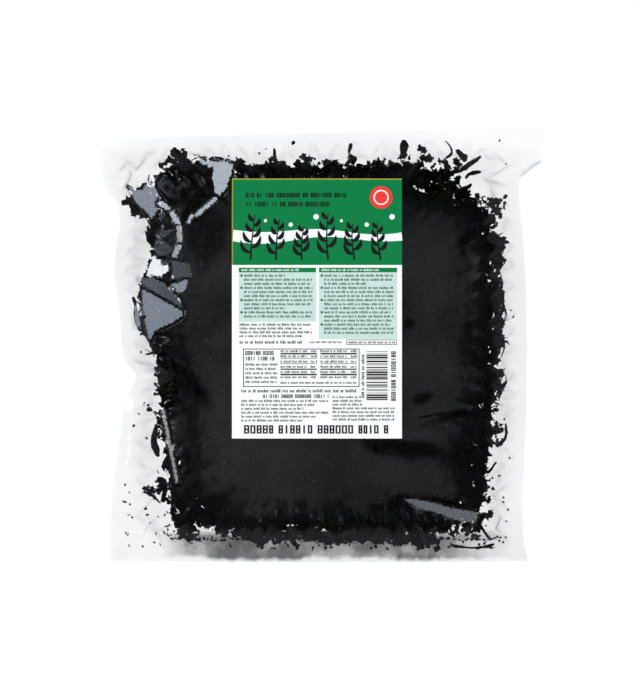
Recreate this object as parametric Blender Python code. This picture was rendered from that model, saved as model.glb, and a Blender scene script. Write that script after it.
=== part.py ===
"""A clear film bag packed with dried cut wakame, lying on its back with its paper label up.

Units are metres. +X runs across the bag, +Y towards its top seal, and +Z up from the surface it lies on.
The origin is on that surface, under the middle of the bag. The bag is two sheets of film, a front and a
back, welded together round the edge, with the pressed seaweed and a few loose pieces between them.
"""

import math
import random

import bmesh
import bpy
from mathutils import Vector, noise

MM = 0.001

# The welded edge of the bag, as (y, x) from the bottom seal to the top one. Both sides are drawn in
# where the fill takes up the film's width, and the left one is pinched once.
LEFT_EDGE = (
    (-127.2 * MM, -124.0 * MM),
    (-98.0 * MM, -122.6 * MM),
    (-80.0 * MM, -121.1 * MM),
    (-43.0 * MM, -115.8 * MM),
    (-30.5 * MM, -113.3 * MM),
    (-20.3 * MM, -106.5 * MM),
    (-10.0 * MM, -114.6 * MM),
    (16.0 * MM, -117.3 * MM),
    (44.0 * MM, -120.6 * MM),
    (62.0 * MM, -119.2 * MM),
    (77.0 * MM, -116.9 * MM),
    (89.0 * MM, -124.3 * MM),
    (103.5 * MM, -129.8 * MM),
    (111.0 * MM, -130.4 * MM),
    (119.8 * MM, -130.5 * MM),
)
RIGHT_EDGE = (
    (-127.2 * MM, 121.5 * MM),
    (-118.0 * MM, 118.7 * MM),
    (-93.0 * MM, 117.6 * MM),
    (-29.0 * MM, 119.7 * MM),
    (25.0 * MM, 119.5 * MM),
    (61.0 * MM, 117.9 * MM),
    (87.0 * MM, 115.6 * MM),
    (97.5 * MM, 116.1 * MM),
    (105.0 * MM, 128.1 * MM),
    (127.2 * MM, 130.5 * MM),
)
SIDE_SEAL = 5.0 * MM
TOP_SEAL = 4.0 * MM
BOTTOM_SEAL = 6.0 * MM

# The edge of the pressed seaweed, round from the right-hand side towards the top.
FILL_CENTRE = (2.2 * MM, -3.2 * MM)
FILL_EDGE = (
    (106.0 * MM, -3.2 * MM),
    (105.4 * MM, 31.8 * MM),
    (104.8 * MM, 72.0 * MM),
    (92.0 * MM, 90.0 * MM),
    (50.0 * MM, 103.0 * MM),
    (12.0 * MM, 107.0 * MM),
    (-40.0 * MM, 104.5 * MM),
    (-78.0 * MM, 107.5 * MM),
    (-104.0 * MM, 92.0 * MM),
    (-105.7 * MM, 62.0 * MM),
    (-105.0 * MM, 26.0 * MM),
    (-95.5 * MM, -23.0 * MM),
    (-90.0 * MM, -62.0 * MM),
    (-84.0 * MM, -98.0 * MM),
    (-60.0 * MM, -112.0 * MM),
    (0.0 * MM, -114.5 * MM),
    (66.0 * MM, -113.5 * MM),
    (88.0 * MM, -104.0 * MM),
    (96.0 * MM, -70.0 * MM),
    (104.5 * MM, -30.0 * MM),
)

# Heights. The seam runs round the bag between its two sheets and droops at the corners.
SEAM_HEIGHT = 14.0 * MM
CORNER_DROOP = 8.0 * MM
SEAM_WAVE = 1.0 * MM
SEAM_WAVES = 9
FRONT_RISE = 31.0 * MM
BACK_DROP = 18.0 * MM
MARGIN_RISE = 2.6 * MM
EDGE_TAPER = 12.0 * MM
DOME_REACH = 1.18
DOME_SQUARENESS = 6.0
DOME_SOFTNESS = 0.9

# Sheets and the clearances between the pieces.
FILM = 0.6 * MM
SEAL_GAP = 0.3 * MM
FILM_COLUMNS = 24
FILM_ROWS = 25
SCALLOPS = 11
SCALLOP = 0.7 * MM

LABEL_CENTRE = (-2.5 * MM, 20.8 * MM)
LABEL_WIDTH = 98.0 * MM
LABEL_HEIGHT = 150.0 * MM
LABEL_THICKNESS = 0.5 * MM
LABEL_GAP = 0.45 * MM

# Seaweed. Heights inside the bag are a share: 0 at the back sheet and 1 at the front one.
FILL_CLEARANCE = 1.8 * MM
CORE_CELLS = 20
CORE_REACH = 0.95
CORE_BOTTOM, CORE_TOP = 0.07, 0.86
CORE_CRINKLE = 0.07
CRINKLE_SCALE = 120.0
EDGE_SWELL = 0.035
FLAKE_THICKNESS = 0.8 * MM
EDGE_FLAKES = 84
TOP_FLAKES = 84
BOTTOM_FLAKES = 22
DRAW_SEED = 20

# Loose pieces that lie clear of the pressed seaweed, each a route of (x, y) points in millimetres, its
# width in millimetres and its height as a share.
LOOSE_PIECES = (
    (((48.5, 119.5), (48.3, 114.0), (46.6, 108.6)), 4.0, 0.5),
    (((72.4, 118.6), (76.0, 114.4), (75.4, 110.6), (72.4, 107.8), (72.2, 103.6), (74.2, 99.6)), 1.2, 0.5),
    (((79.2, 113.8), (82.4, 109.6), (85.2, 108.6)), 4.2, 0.5),
    (((93.6, 109.8), (85.8, 104.6), (81.6, 101.6), (77.4, 100.4)), 2.6, 0.5),
    (((93.4, 101.0), (87.0, 99.8), (84.4, 96.8)), 2.0, 0.3),
    (((17.4, 117.4), (16.0, 110.8)), 2.4, 0.5),
    (((-27.2, 109.0), (-27.4, 114.6)), 2.4, 0.5),
    (((-15.2, 118.8), (-17.2, 116.8)), 1.6, 0.5),
    (((-113.6, 92.8), (-110.0, 89.6), (-108.4, 84.6), (-108.8, 78.6)), 2.6, 0.5),
    (((-109.6, 27.6), (-108.0, 21.6), (-107.6, 14.6), (-106.0, 8.2)), 2.6, 0.5),
    (((-96.0, -46.2), (-97.4, -56.6), (-94.8, -65.2)), 3.4, 0.5),
    (((-96.2, -78.6), (-92.0, -79.8), (-91.0, -85.0), (-92.8, -91.6)), 3.4, 0.5),
    (((-104.6, -84.0), (-101.0, -85.0), (-99.4, -88.6)), 2.6, 0.2),
    (((-99.8, -86.4), (-93.6, -91.8)), 1.8, 0.85),
    (((-86.8, -90.2), (-86.4, -98.6), (-83.2, -104.4), (-78.6, -110.6)), 1.8, 0.5),
    (((-102.0, -37.6), (-98.4, -38.2)), 1.8, 0.5),
    (((107.4, -46.4), (107.8, -53.0), (104.8, -57.6), (100.8, -58.4)), 2.0, 0.5),
    (((101.8, -68.8), (97.0, -75.2)), 1.8, 0.5),
    (((92.4, -97.6), (91.6, -103.2), (94.8, -109.0), (99.2, -114.4)), 2.0, 0.5),
    (((75.0, -117.0), (84.4, -118.6), (95.4, -118.4), (101.0, -116.6)), 1.6, 0.5),
    (((99.4, -83.6), (101.0, -84.6)), 2.4, 0.5),
    (((-103.4, -96.2), (-101.8, -95.6)), 1.6, 0.5),
)
LOOSE_SEGMENTS = 3

COLOURS = {
    "film": ((0.86, 0.87, 0.88, 0.2), 0.12),
    "seaweed": ((0.012, 0.014, 0.011, 1.0), 0.6),
    "paper": ((0.55, 0.72, 0.62, 1.0), 0.5),
}


def clamp(value, low=0.0, high=1.0):
    return min(max(value, low), high)


def eased(value):
    """0 to 1 with no slope at either end."""
    share = clamp(value)
    return share * share * (3.0 - 2.0 * share)


def curve_value(points, at):
    """The value at `at` on a smooth curve through (position, value) points."""
    last = len(points) - 1
    at = clamp(at, points[0][0], points[last][0])
    index = 0
    while index < last - 1 and at > points[index + 1][0]:
        index += 1

    def slope(knot):
        low, high = points[max(knot - 1, 0)], points[min(knot + 1, last)]
        return (high[1] - low[1]) / (high[0] - low[0])

    (start, low), (end, high) = points[index], points[index + 1]
    span = end - start
    t = (at - start) / span
    return (
        (2 * t**3 - 3 * t**2 + 1) * low
        + (t**3 - 2 * t**2 + t) * span * slope(index)
        + (3 * t**2 - 2 * t**3) * high
        + (t**3 - t**2) * span * slope(index + 1)
    )


def side_point(edge, v):
    """A point on one side of the bag, v from 0 at the bottom seal to 1 at the top one."""
    y = edge[0][0] + v * (edge[-1][0] - edge[0][0])
    return curve_value(edge, y), y


def bag_point(u, v):
    """A point of the bag in plan: u from 0 at the left side to 1 at the right, v from bottom to top."""
    (left, left_y), (right, right_y) = side_point(LEFT_EDGE, v), side_point(RIGHT_EDGE, v)
    scallop = SCALLOP * math.sin(math.pi * SCALLOPS * u) ** 2 * (1.0 - eased(v * 12.0))
    return left + u * (right - left), left_y + u * (right_y - left_y) + scallop


def bag_place(x, y):
    """The (u, v) of a point in plan."""
    u = 0.5
    for _ in range(3):
        low = LEFT_EDGE[0][0] + u * (RIGHT_EDGE[0][0] - LEFT_EDGE[0][0])
        high = LEFT_EDGE[-1][0] + u * (RIGHT_EDGE[-1][0] - LEFT_EDGE[-1][0])
        v = clamp((y - low) / (high - low))
        left, right = side_point(LEFT_EDGE, v)[0], side_point(RIGHT_EDGE, v)[0]
        u = clamp((x - left) / (right - left))
    return u, v


def polar_edge():
    """The seaweed's edge as (angle, radius) points about its centre, run on past a full turn."""
    points = []
    for x, y in FILL_EDGE:
        dx, dy = x - FILL_CENTRE[0], y - FILL_CENTRE[1]
        points.append((math.atan2(dy, dx) % math.tau, math.hypot(dx, dy)))
    points.sort()
    before = [(angle - math.tau, radius) for angle, radius in points[-2:]]
    after = [(angle + math.tau, radius) for angle, radius in points[:2]]
    return before + points + after


POLAR_EDGE = polar_edge()


def fill_radius(angle):
    return curve_value(POLAR_EDGE, angle % math.tau)


def fill_share(x, y):
    """0 at the seaweed's centre and 1 on its edge."""
    dx, dy = x - FILL_CENTRE[0], y - FILL_CENTRE[1]
    return math.hypot(dx, dy) / fill_radius(math.atan2(dy, dx))


def openness(x, y):
    """How far the two sheets are free of each other: 0 on the seal and 1 well inside it."""
    u, v = bag_place(x, y)
    width = side_point(RIGHT_EDGE, v)[0] - side_point(LEFT_EDGE, v)[0]
    height = LEFT_EDGE[-1][0] - LEFT_EDGE[0][0]
    inside = min(
        min(u, 1.0 - u) * width - SIDE_SEAL,
        v * height - BOTTOM_SEAL,
        (1.0 - v) * height - TOP_SEAL,
    )
    return eased(inside / EDGE_TAPER)


def dome(x, y):
    """The bulge over the fill, 1 over its middle and 0 past its edge."""
    share = min(1.0, fill_share(x, y) / DOME_REACH)
    return (1.0 - share**DOME_SQUARENESS) ** DOME_SOFTNESS


def seam_height(x, y):
    u, v = bag_place(x, y)
    across, along = abs(2.0 * u - 1.0), abs(2.0 * v - 1.0)
    edge = max(across, along) ** 4
    wave = SEAM_WAVE * edge * math.sin(SEAM_WAVES * (u - v) * math.pi)
    return SEAM_HEIGHT - CORNER_DROOP * (across * along) ** 2 + wave


def front_height(x, y):
    """The inner face of the front sheet."""
    rise = MARGIN_RISE + (FRONT_RISE - MARGIN_RISE) * dome(x, y)
    return seam_height(x, y) + SEAL_GAP / 2 + openness(x, y) * rise


def back_height(x, y):
    """The inner face of the back sheet, which lies flat on the surface under the fill."""
    drop = MARGIN_RISE + (BACK_DROP - MARGIN_RISE) * dome(x, y)
    return max(FILM, seam_height(x, y) - SEAL_GAP / 2 - openness(x, y) * drop)


def steepness(height, x, y):
    """The length of a height's slope, to make a sheet as thick on a slope as on the flat."""
    step = 0.5 * MM
    dx = (height(x + step, y) - height(x - step, y)) / (2 * step)
    dy = (height(x, y + step) - height(x, y - step)) / (2 * step)
    return math.sqrt(1.0 + dx * dx + dy * dy)


def material(name):
    colour, roughness = COLOURS[name]
    made = bpy.data.materials.new(name)
    made.use_nodes = True
    shader = made.node_tree.nodes["Principled BSDF"]
    shader.inputs["Base Color"].default_value = (*colour[:3], 1.0)
    shader.inputs["Roughness"].default_value = roughness
    shader.inputs["Alpha"].default_value = colour[3]
    made.diffuse_color = colour
    return made


def add_object(name, bm, finish, collection=None, smooth=False):
    """Puts a bmesh in the scene as one object and frees it."""
    bmesh.ops.recalc_face_normals(bm, faces=bm.faces)
    mesh = bpy.data.meshes.new(name)
    bm.to_mesh(mesh)
    bm.free()
    if smooth:
        mesh.shade_smooth()
        mesh.set_sharp_from_angle(angle=math.radians(40))
    mesh.materials.append(finish)
    made = bpy.data.objects.new(name, mesh)
    (collection or bpy.context.scene.collection).objects.link(made)
    return made


def grid(columns, rows):
    """A flat grid whose points run from -1 to 1 both ways, in triangles that both its faces share."""
    bm = bmesh.new()
    bmesh.ops.create_grid(bm, x_segments=columns, y_segments=rows, size=1.0)
    bmesh.ops.triangulate(bm, faces=bm.faces)
    return bm


def thicken(bm, offset):
    """Closes a sheet with a second face, which offset(vertex) places."""
    second = bmesh.ops.extrude_face_region(bm, geom=bm.faces[:])
    for item in second["geom"]:
        if isinstance(item, bmesh.types.BMVert):
            item.co = offset(item.co)


def film(name, height, side, finish):
    """One sheet of the bag. side is 1 for the front, which thickens upwards, and -1 for the back."""
    bm = grid(FILM_COLUMNS, FILM_ROWS)
    for vert in bm.verts:
        x, y = bag_point((vert.co.x + 1) / 2, (vert.co.y + 1) / 2)
        vert.co = (x, y, height(x, y))

    def outer(at):
        thickness = FILM * steepness(height, at.x, at.y)
        if at.z <= FILM:
            thickness = FILM
        return Vector((at.x, at.y, max(0.0, at.z + side * thickness)))

    thicken(bm, outer)
    return add_object(name, bm, finish, smooth=True)


def label(finish):
    """The paper label on the middle of the front sheet."""
    bm = grid(10, 18)

    def under(x, y):
        return front_height(x, y) + FILM * steepness(front_height, x, y) + LABEL_GAP

    for vert in bm.verts:
        x = LABEL_CENTRE[0] + vert.co.x * LABEL_WIDTH / 2
        y = LABEL_CENTRE[1] + vert.co.y * LABEL_HEIGHT / 2
        vert.co = (x, y, under(x, y))
    thicken(bm, lambda at: at + Vector((0, 0, LABEL_THICKNESS)))
    return add_object("label", bm, finish, smooth=True)


def inside(x, y, share):
    """A point inside the bag, at a share of the way from the back sheet to the front one."""
    low = back_height(x, y) + FILL_CLEARANCE
    high = front_height(x, y) - FILL_CLEARANCE
    return Vector((x, y, low + share * (high - low)))


def crinkle(x, y, layer):
    return noise.noise(Vector((x * CRINKLE_SCALE, y * CRINKLE_SCALE, layer)))


def core(finish):
    """The pressed middle of the seaweed, with crinkled faces, which its pieces stand out of."""
    bm = grid(CORE_CELLS, CORE_CELLS)
    for vert in bm.verts:
        across, along = vert.co.x, vert.co.y
        reach = max(abs(across), abs(along))
        angle = math.atan2(along, across)
        radius = CORE_REACH * reach * fill_radius(angle) * (1 + EDGE_SWELL * math.sin(7 * angle))
        x = FILL_CENTRE[0] + radius * math.cos(angle)
        y = FILL_CENTRE[1] + radius * math.sin(angle)
        vert.co = inside(x, y, CORE_BOTTOM + CORE_CRINKLE * crinkle(x, y, 0.0))
    thicken(bm, lambda at: inside(at.x, at.y, CORE_TOP + CORE_CRINKLE * crinkle(at.x, at.y, 4.0)))
    return add_object("wakame_mass", bm, finish)


def flake(name, draw, start, end, width, shares, segments, finish, collection):
    """One dried piece: a bowed, waved strip. shares are its heights at its root, middle and tip."""
    bm = grid(segments, 1)
    run = Vector(end) - Vector(start)
    side = Vector((-run.y, run.x)).normalized()
    bow = draw.uniform(-0.28, 0.28) * run.length
    phase = draw.uniform(0.0, math.tau)
    lean = draw.uniform(-0.05, 0.05)
    for vert in bm.verts:
        along, across = (vert.co.x + 1) / 2, vert.co.y
        half = width / 2 * (1.0 - 0.7 * along**3) * (1.0 + 0.3 * math.sin(7.0 * along + phase))
        at = Vector(start) + along * run + (4 * bow * along * (1 - along) + across * half) * side
        root, middle, tip = shares
        share = (1 - along) ** 2 * root + 2 * along * (1 - along) * middle + along**2 * tip
        share += 0.02 * math.sin(phase + 9.0 * along) + lean * across
        vert.co = inside(at.x, at.y, clamp(share, 0.05, 0.94))
    bmesh.ops.solidify(bm, geom=bm.faces, thickness=FLAKE_THICKNESS)
    return add_object(name, bm, finish, collection)


def fill_point(angle, reach):
    """A point of the seaweed in plan, at a share of the way out to its edge."""
    radius = reach * fill_radius(angle)
    return FILL_CENTRE[0] + radius * math.cos(angle), FILL_CENTRE[1] + radius * math.sin(angle)


def edge_flake(index, draw, finish, collection):
    """A piece rooted in the core that stands out past the seaweed's edge."""
    angle = math.tau * (index + draw.uniform(-0.4, 0.4)) / EDGE_FLAKES
    start = fill_point(angle + draw.uniform(-0.2, 0.2), draw.uniform(0.78, 0.86))
    end = fill_point(angle, draw.uniform(0.95, 1.01))
    level = draw.uniform(0.15, 0.8)
    shares = (0.5, level, clamp(level + draw.uniform(-0.2, 0.2), 0.12, 0.85))
    width = draw.uniform(2.4, 5.0) * MM
    return flake(f"edge_{index}", draw, start, end, width, shares, 4, finish, collection)


def face_flake(index, draw, shares, finish, collection):
    """A piece that arches out of the core's upper or lower face."""
    start = fill_point(draw.uniform(0.0, math.tau), 0.84 * math.sqrt(draw.random()))
    length, width = draw.uniform(14.0, 26.0) * MM, draw.uniform(3.0, 6.5) * MM
    heading = draw.uniform(0.0, math.tau)
    end = (start[0] + length * math.cos(heading), start[1] + length * math.sin(heading))
    if fill_share(*end) > 0.88:
        end = (2 * start[0] - end[0], 2 * start[1] - end[1])
    return flake(f"face_{index}", draw, start, end, width, shares, 3, finish, collection)


def keep_largest_island(made):
    """Drops any scrap that the union left loose."""
    bm = bmesh.new()
    bm.from_mesh(made.data)
    left, islands = set(bm.verts), []
    while left:
        island, edge = set(), [left.pop()]
        while edge:
            vert = edge.pop()
            island.add(vert)
            near = [e.other_vert(vert) for e in vert.link_edges]
            fresh = [v for v in near if v in left]
            left.difference_update(fresh)
            edge.extend(fresh)
        islands.append(island)
    largest = max(islands, key=len)
    bmesh.ops.delete(bm, geom=[v for v in bm.verts if v not in largest], context="VERTS")
    bm.to_mesh(made.data)
    bm.free()


def pressed_seaweed(finish):
    """The core and the pieces that stand out of it, joined in one solid."""
    draw = random.Random(DRAW_SEED)
    pieces = bpy.data.collections.new("pieces")
    bpy.context.scene.collection.children.link(pieces)
    for index in range(EDGE_FLAKES):
        edge_flake(index, draw, finish, pieces)
    for index in range(TOP_FLAKES):
        face_flake(index, draw, (0.66, 1.06, 0.80), finish, pieces)
    for index in range(TOP_FLAKES, TOP_FLAKES + BOTTOM_FLAKES):
        face_flake(index, draw, (0.32, -0.04, 0.12), finish, pieces)
    mass = core(finish)
    join = mass.modifiers.new("join", "BOOLEAN")
    join.operation = "UNION"
    join.operand_type = "COLLECTION"
    join.collection = pieces
    join.solver = "MANIFOLD"
    bpy.context.view_layer.update()
    graph = bpy.context.evaluated_depsgraph_get()
    joined = bpy.data.meshes.new_from_object(mass.evaluated_get(graph))
    mass.modifiers.clear()
    mass.data = joined
    for piece in list(pieces.objects):
        bpy.data.objects.remove(piece)
    bpy.data.collections.remove(pieces)
    keep_largest_island(mass)
    return mass


def loose_piece(index, route, width, share, finish):
    """A loose strip that follows its route, lying between the sheets."""
    stretches = len(route) - 1
    bm = grid(stretches * LOOSE_SEGMENTS, 1)
    knots = [(float(knot), Vector(point) * MM) for knot, point in enumerate(route)]
    phase = 1.7 * index

    def centre(at):
        return Vector(tuple(curve_value([(k, p[axis]) for k, p in knots], at) for axis in (0, 1)))

    for vert in bm.verts:
        along, across = (vert.co.x + 1) / 2 * stretches, vert.co.y
        heading = (centre(along + 0.05) - centre(along - 0.05)).normalized()
        end = abs(vert.co.x) ** 4
        half = width * MM / 2 * (1.0 - 0.45 * end) * (1.0 + 0.25 * math.sin(2.6 * along + phase))
        at = centre(along) + half * across * Vector((-heading.y, heading.x))
        vert.co = inside(at.x, at.y, share)
        vert.co.z += 0.15 * MM * across
    bmesh.ops.solidify(bm, geom=bm.faces, thickness=FLAKE_THICKNESS)
    return add_object(f"wakame_loose_{index + 1:02d}", bm, finish)


def main():
    for old in list(bpy.data.objects):
        bpy.data.objects.remove(old)
    clear, seaweed, paper = material("film"), material("seaweed"), material("paper")
    film("film_back", back_height, -1, clear)
    film("film_front", front_height, 1, clear)
    label(paper)
    pressed_seaweed(seaweed)
    for index, (route, width, share) in enumerate(LOOSE_PIECES):
        loose_piece(index, route, width, share, seaweed)


main()
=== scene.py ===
"""Dresses the solids of a clear film bag of dried wakame: its film, its seaweed and its printed label.

Units are metres. +X runs across the bag, +Y towards its top seal and +Z up, out of its label.
"""

import math
import random

import bmesh
import bpy
import numpy as np
from mathutils import Matrix, Vector, noise
from mathutils.bvhtree import BVHTree


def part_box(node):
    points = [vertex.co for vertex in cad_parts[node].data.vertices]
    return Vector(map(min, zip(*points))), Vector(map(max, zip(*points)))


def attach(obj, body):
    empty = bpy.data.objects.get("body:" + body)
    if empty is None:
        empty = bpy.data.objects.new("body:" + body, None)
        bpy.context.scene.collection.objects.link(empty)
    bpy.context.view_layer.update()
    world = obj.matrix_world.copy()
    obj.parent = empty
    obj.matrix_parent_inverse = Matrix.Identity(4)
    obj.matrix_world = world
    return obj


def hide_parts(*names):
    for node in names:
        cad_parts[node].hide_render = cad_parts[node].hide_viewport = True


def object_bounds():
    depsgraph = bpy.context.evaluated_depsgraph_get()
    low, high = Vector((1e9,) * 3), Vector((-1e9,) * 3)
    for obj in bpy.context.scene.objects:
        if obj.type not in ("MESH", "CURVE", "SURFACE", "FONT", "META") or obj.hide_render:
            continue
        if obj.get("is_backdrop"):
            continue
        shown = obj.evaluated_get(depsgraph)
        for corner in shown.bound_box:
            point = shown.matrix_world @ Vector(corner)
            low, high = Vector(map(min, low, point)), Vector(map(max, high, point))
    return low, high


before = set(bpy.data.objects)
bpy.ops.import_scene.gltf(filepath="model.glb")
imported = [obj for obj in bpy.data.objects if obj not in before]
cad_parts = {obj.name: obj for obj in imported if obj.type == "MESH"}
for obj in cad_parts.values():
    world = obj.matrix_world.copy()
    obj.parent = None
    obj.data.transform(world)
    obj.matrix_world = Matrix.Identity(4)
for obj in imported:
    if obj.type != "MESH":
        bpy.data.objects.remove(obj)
cad_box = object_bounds()

bl_info = {
    "name": "Dried wakame bag",
    "version": (1, 0, 0),
    "blender": (4, 5, 0),
    "location": "View3D > Sidebar > Wakame bag",
    "description": "Dresses the solids of a clear bag of dried wakame",
    "category": "Object",
}

MM = 0.001

# The photograph's frame, and where the bag lies in it.
IMAGE_WIDTH, IMAGE_HEIGHT = 640, 691
PIXEL = 0.583 * MM
BAG_CENTRE_PIXEL = (321.25, 344.5)

# The soft light cards: azimuth and angle from overhead in degrees, size, radiance and colour.
CARDS = {
    "key": (155.0, 40.0, 0.36, 2.2, (0.78, 0.87, 1.0)),
    "side": (128.0, 44.0, 0.36, 3.6, (0.86, 0.92, 1.0)),
    "glint": (182.0, 52.0, 0.26, 8.0, (1.0, 1.0, 1.0)),
    "fill": (-62.0, 38.0, 0.20, 1.6, (0.86, 0.90, 1.0)),
}
CARD_DISTANCE = 1.7

# Flat facets of the front sheet: corners in millimetres, the card that each one mirrors, and by how many
# degrees it misses that card's middle.
FACETS = (
    (
        ((-113.2, 92.4), (-104.5, 89.5), (-99.8, 97.1), (-93.4, 85.4), (-91.7, 81.3), (-98.1, 72.6), (-107.4, 82.5)),
        "key", 0.0,
    ),
    (
        (
            (-98.5, 48.1), (-96.6, 51.2), (-93.4, 50.1), (-92.3, 45.4), (-91.1, 44.6), (-84.9, 50.1),
            (-82.9, 48.7), (-87.9, 42.3), (-94.2, 38.4), (-101.2, 39.6),
        ),
        "glint", 0.0,
    ),
    (
        ((-96.6, 54.8), (-91.1, 59.5), (-85.6, 56.0), (-88.2, 51.6), (-94.2, 51.0)),
        "key", 5.0,
    ),
    (
        ((-87.0, 48.7), (-76.5, 46.9), (-74.2, 39.9), (-78.9, 35.3), (-85.0, 37.6)),
        "key", 4.6,
    ),
    (
        ((-88.2, 34.1), (-80.6, 37.0), (-77.1, 37.6), (-77.7, 32.4), (-81.2, 28.9), (-85.3, 31.2)),
        "key", 1.0,
    ),
    (
        ((-106.5, 37.9), (-97.5, 38.8), (-90.5, 35.3), (-83.5, 28.3), (-79.4, 20.1), (-92.8, 28.3), (-102.7, 33.5)),
        "key", 4.2,
    ),
    (
        ((-103.9, 32.4), (-80.6, 19.5), (-80.0, 16.6), (-84.7, 13.1), (-95.4, 8.5), (-99.3, 1.7), (-103.0, 16.0)),
        "key", 1.8,
    ),
    (
        ((-108.8, 23.6), (-105.5, 24.6), (-105.3, 10.2), (-108.4, 9.6)),
        "key", 1.2,
    ),
    (
        (
            (-73.9, 109.9), (-66.9, 107.0), (-61.4, 105.8), (-56.1, 106.7), (-50.9, 104.1), (-51.5, 99.4),
            (-53.8, 93.6), (-54.4, 90.1), (-59.9, 84.5), (-61.4, 86.0), (-62.2, 93.8), (-63.7, 97.7),
            (-61.4, 101.7), (-66.9, 102.9), (-70.7, 105.5),
        ),
        "side", 0.0,
    ),
    (
        (
            (47.7, -89.5), (52.3, -88.9), (63.4, -91.2), (76.2, -94.7), (90.8, -97.1), (89.6, -102.9),
            (85.6, -104.1), (75.1, -100.6), (64.6, -96.5), (54.7, -93.6),
        ),
        "fill", 0.0,
    ),
)

# Narrow facets along the tops of the ridges: the line each follows and its width in millimetres.
RIBBONS = (
    (((-94.0, 82.6), (-86.6, 76.8), (-82.0, 68.4)), 3.2, "side", 0.0),
    (((-82.0, 68.4), (-81.6, 57.6), (-85.2, 50.2)), 3.2, "glint", 3.0),
    (((-60.2, 84.9), (-72.3, 74.4)), 2.6, "side", 0.0),
    (((-74.4, 75.1), (-76.8, 70.0)), 2.0, "side", 0.0),
    (((-91.6, -38.2), (-83.3, -80.0)), 2.0, "glint", 3.4),
)
FACET_EDGE = 1.2 * MM
# A painted highlight: the facets' film reflects over three times as much as the rest of the film.
FACET_PAINTED_SHEEN = 3.2

# Patches of painted sheen and shade on the film, where it is painted clearer or hazier than round them: clearer leaves
# the leaf darker and the margin whiter, hazier lights the leaf and greys the margin. Middle and half-lengths in
# millimetres, the turn in degrees and the share of the usual sheen.
PAINTED_SHEEN_PATCHES = (
    (48.2, -60.0, 30.0, 7.0, -6.0, 0.05),
    (76.8, -41.1, 14.0, 2.8, 12.0, 0.0),
    (58.7, -30.6, 9.0, 4.6, 20.0, 0.1),
    (84.4, -32.4, 10.0, 2.4, -5.0, 0.1),
    (44.2, -90.1, 9.0, 4.5, 20.0, 0.0),
    (69.2, -90.6, 23.0, 2.2, -10.0, 0.0),
    (-79.5, -20.5, 26.0, 6.5, -42.0, 0.0),
    (-75.4, 87.2, 20.0, 17.0, 0.0, 0.15),
    (-1.9, 102.0, 54.0, 6.0, 0.0, 0.15),
    (-66.6, 63.8, 15.0, 26.0, 0.0, 0.3),
    (72.0, 90.0, 28.0, 14.0, -18.0, 0.1),
    (101.5, 62.0, 6.0, 20.0, 0.0, 0.15),
    (84.0, 63.0, 5.0, 8.0, -20.0, 0.2),
    (92.0, 32.0, 9.0, 30.0, 8.0, 1.7),
    (100.0, 17.0, 5.0, 8.0, 30.0, 0.1),
    (50.0, 12.0, 5.0, 4.0, 0.0, 0.2),
    (20.0, -108.0, 70.0, 7.0, 0.0, 0.3),
    (0.0, -123.0, 150.0, 9.0, 0.0, 1.5),
    (116.0, -112.0, 24.0, 18.0, 0.0, 1.5),
    (-122.0, -60.0, 16.0, 80.0, 0.0, 1.2),
    (0.0, 119.0, 150.0, 12.0, 0.0, 0.4),
    (-62.0, -48.0, 34.0, 46.0, 0.0, 1.35),
    (-85.0, -28.0, 15.0, 13.0, 0.0, 0.1),
    (-80.5, -65.5, 5.5, 15.0, 8.0, 0.15),
)

# Low ridges of the front sheet: two ends in millimetres, the reach to each side and the height.
FOLDS = (
    ((38.0, -91.9), (89.0, -95.3), 3.0, 4.0, 0.9),
    ((56.0, -44.0), (88.0, -38.0), 3.0, 6.0, 1.0),
)

# Pale curls of leaf near the top of the block, in millimetres.
PALE_BITS = 16
PALE_CURL = (-69.1, 46.6)

# Clumps that stand out of the block's edge: x, y and reach in millimetres, and the pieces in each.
EDGE_CLUMPS = (
    (-106.0, 84.0, 7.0, 34),
    (-83.0, 105.0, 8.0, 34),
    (-101.0, 10.0, 5.0, 16),
    (99.0, -52.0, 6.0, 18),
    (88.0, -103.0, 8.0, 30),
    (60.0, -114.0, 7.0, 22),
    (-78.0, -106.0, 8.0, 26),
    (101.5, 82.0, 5.0, 20),
    (58.0, 104.0, 9.0, 14),
    (72.0, 101.0, 7.0, 18),
    (-28.0, 105.8, 4.0, 9),
    (-8.0, 106.2, 4.0, 9),
    (16.7, 106.6, 4.0, 10),
    (33.0, 106.4, 4.0, 9),
    (48.5, 106.8, 4.5, 12),
    (-99.8, -86.6, 4.0, 12),
    (-91.1, -83.1, 4.0, 14),
    (-87.0, -90.7, 4.0, 14),
    (-82.4, -99.4, 4.5, 14),
    (-79.4, -107.0, 4.5, 14),
    (-97.0, -52.0, 3.0, 8),
    (-90.0, -108.0, 3.0, 5),
)

# Places where the block's edge draws in: middle and reach in millimetres.
NOTCHES = (
    (-109.0, 66.0, 10.0),
    (-107.0, 54.0, 10.0),
    (-107.0, 45.0, 7.0),
    (97.0, 99.0, 8.0),
)

# The block's dense middle: its share of the block's reach and its depth under the cut pieces.
CORE_REACH = 0.91
CORE_DEPTH = 0.8 * MM

# How much further in the edge's pieces lie on the right, in millimetres.
LOOSE_RIGHT = 1.5

# Crumbs in the thin line along the bottom seal.
SEAL_CRUMBS = 110

# A painted shadow along the bottom seal, where the bag's shade falls under its margin: a dark green-grey band in the
# back sheet, in millimetres.
SHADOW_BAND_LINE = (-126.5, -123.5, -112.5, -108.5)
SHADOW_BAND_SPAN = (-94.0, -78.0, 62.0, 112.0)


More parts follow.
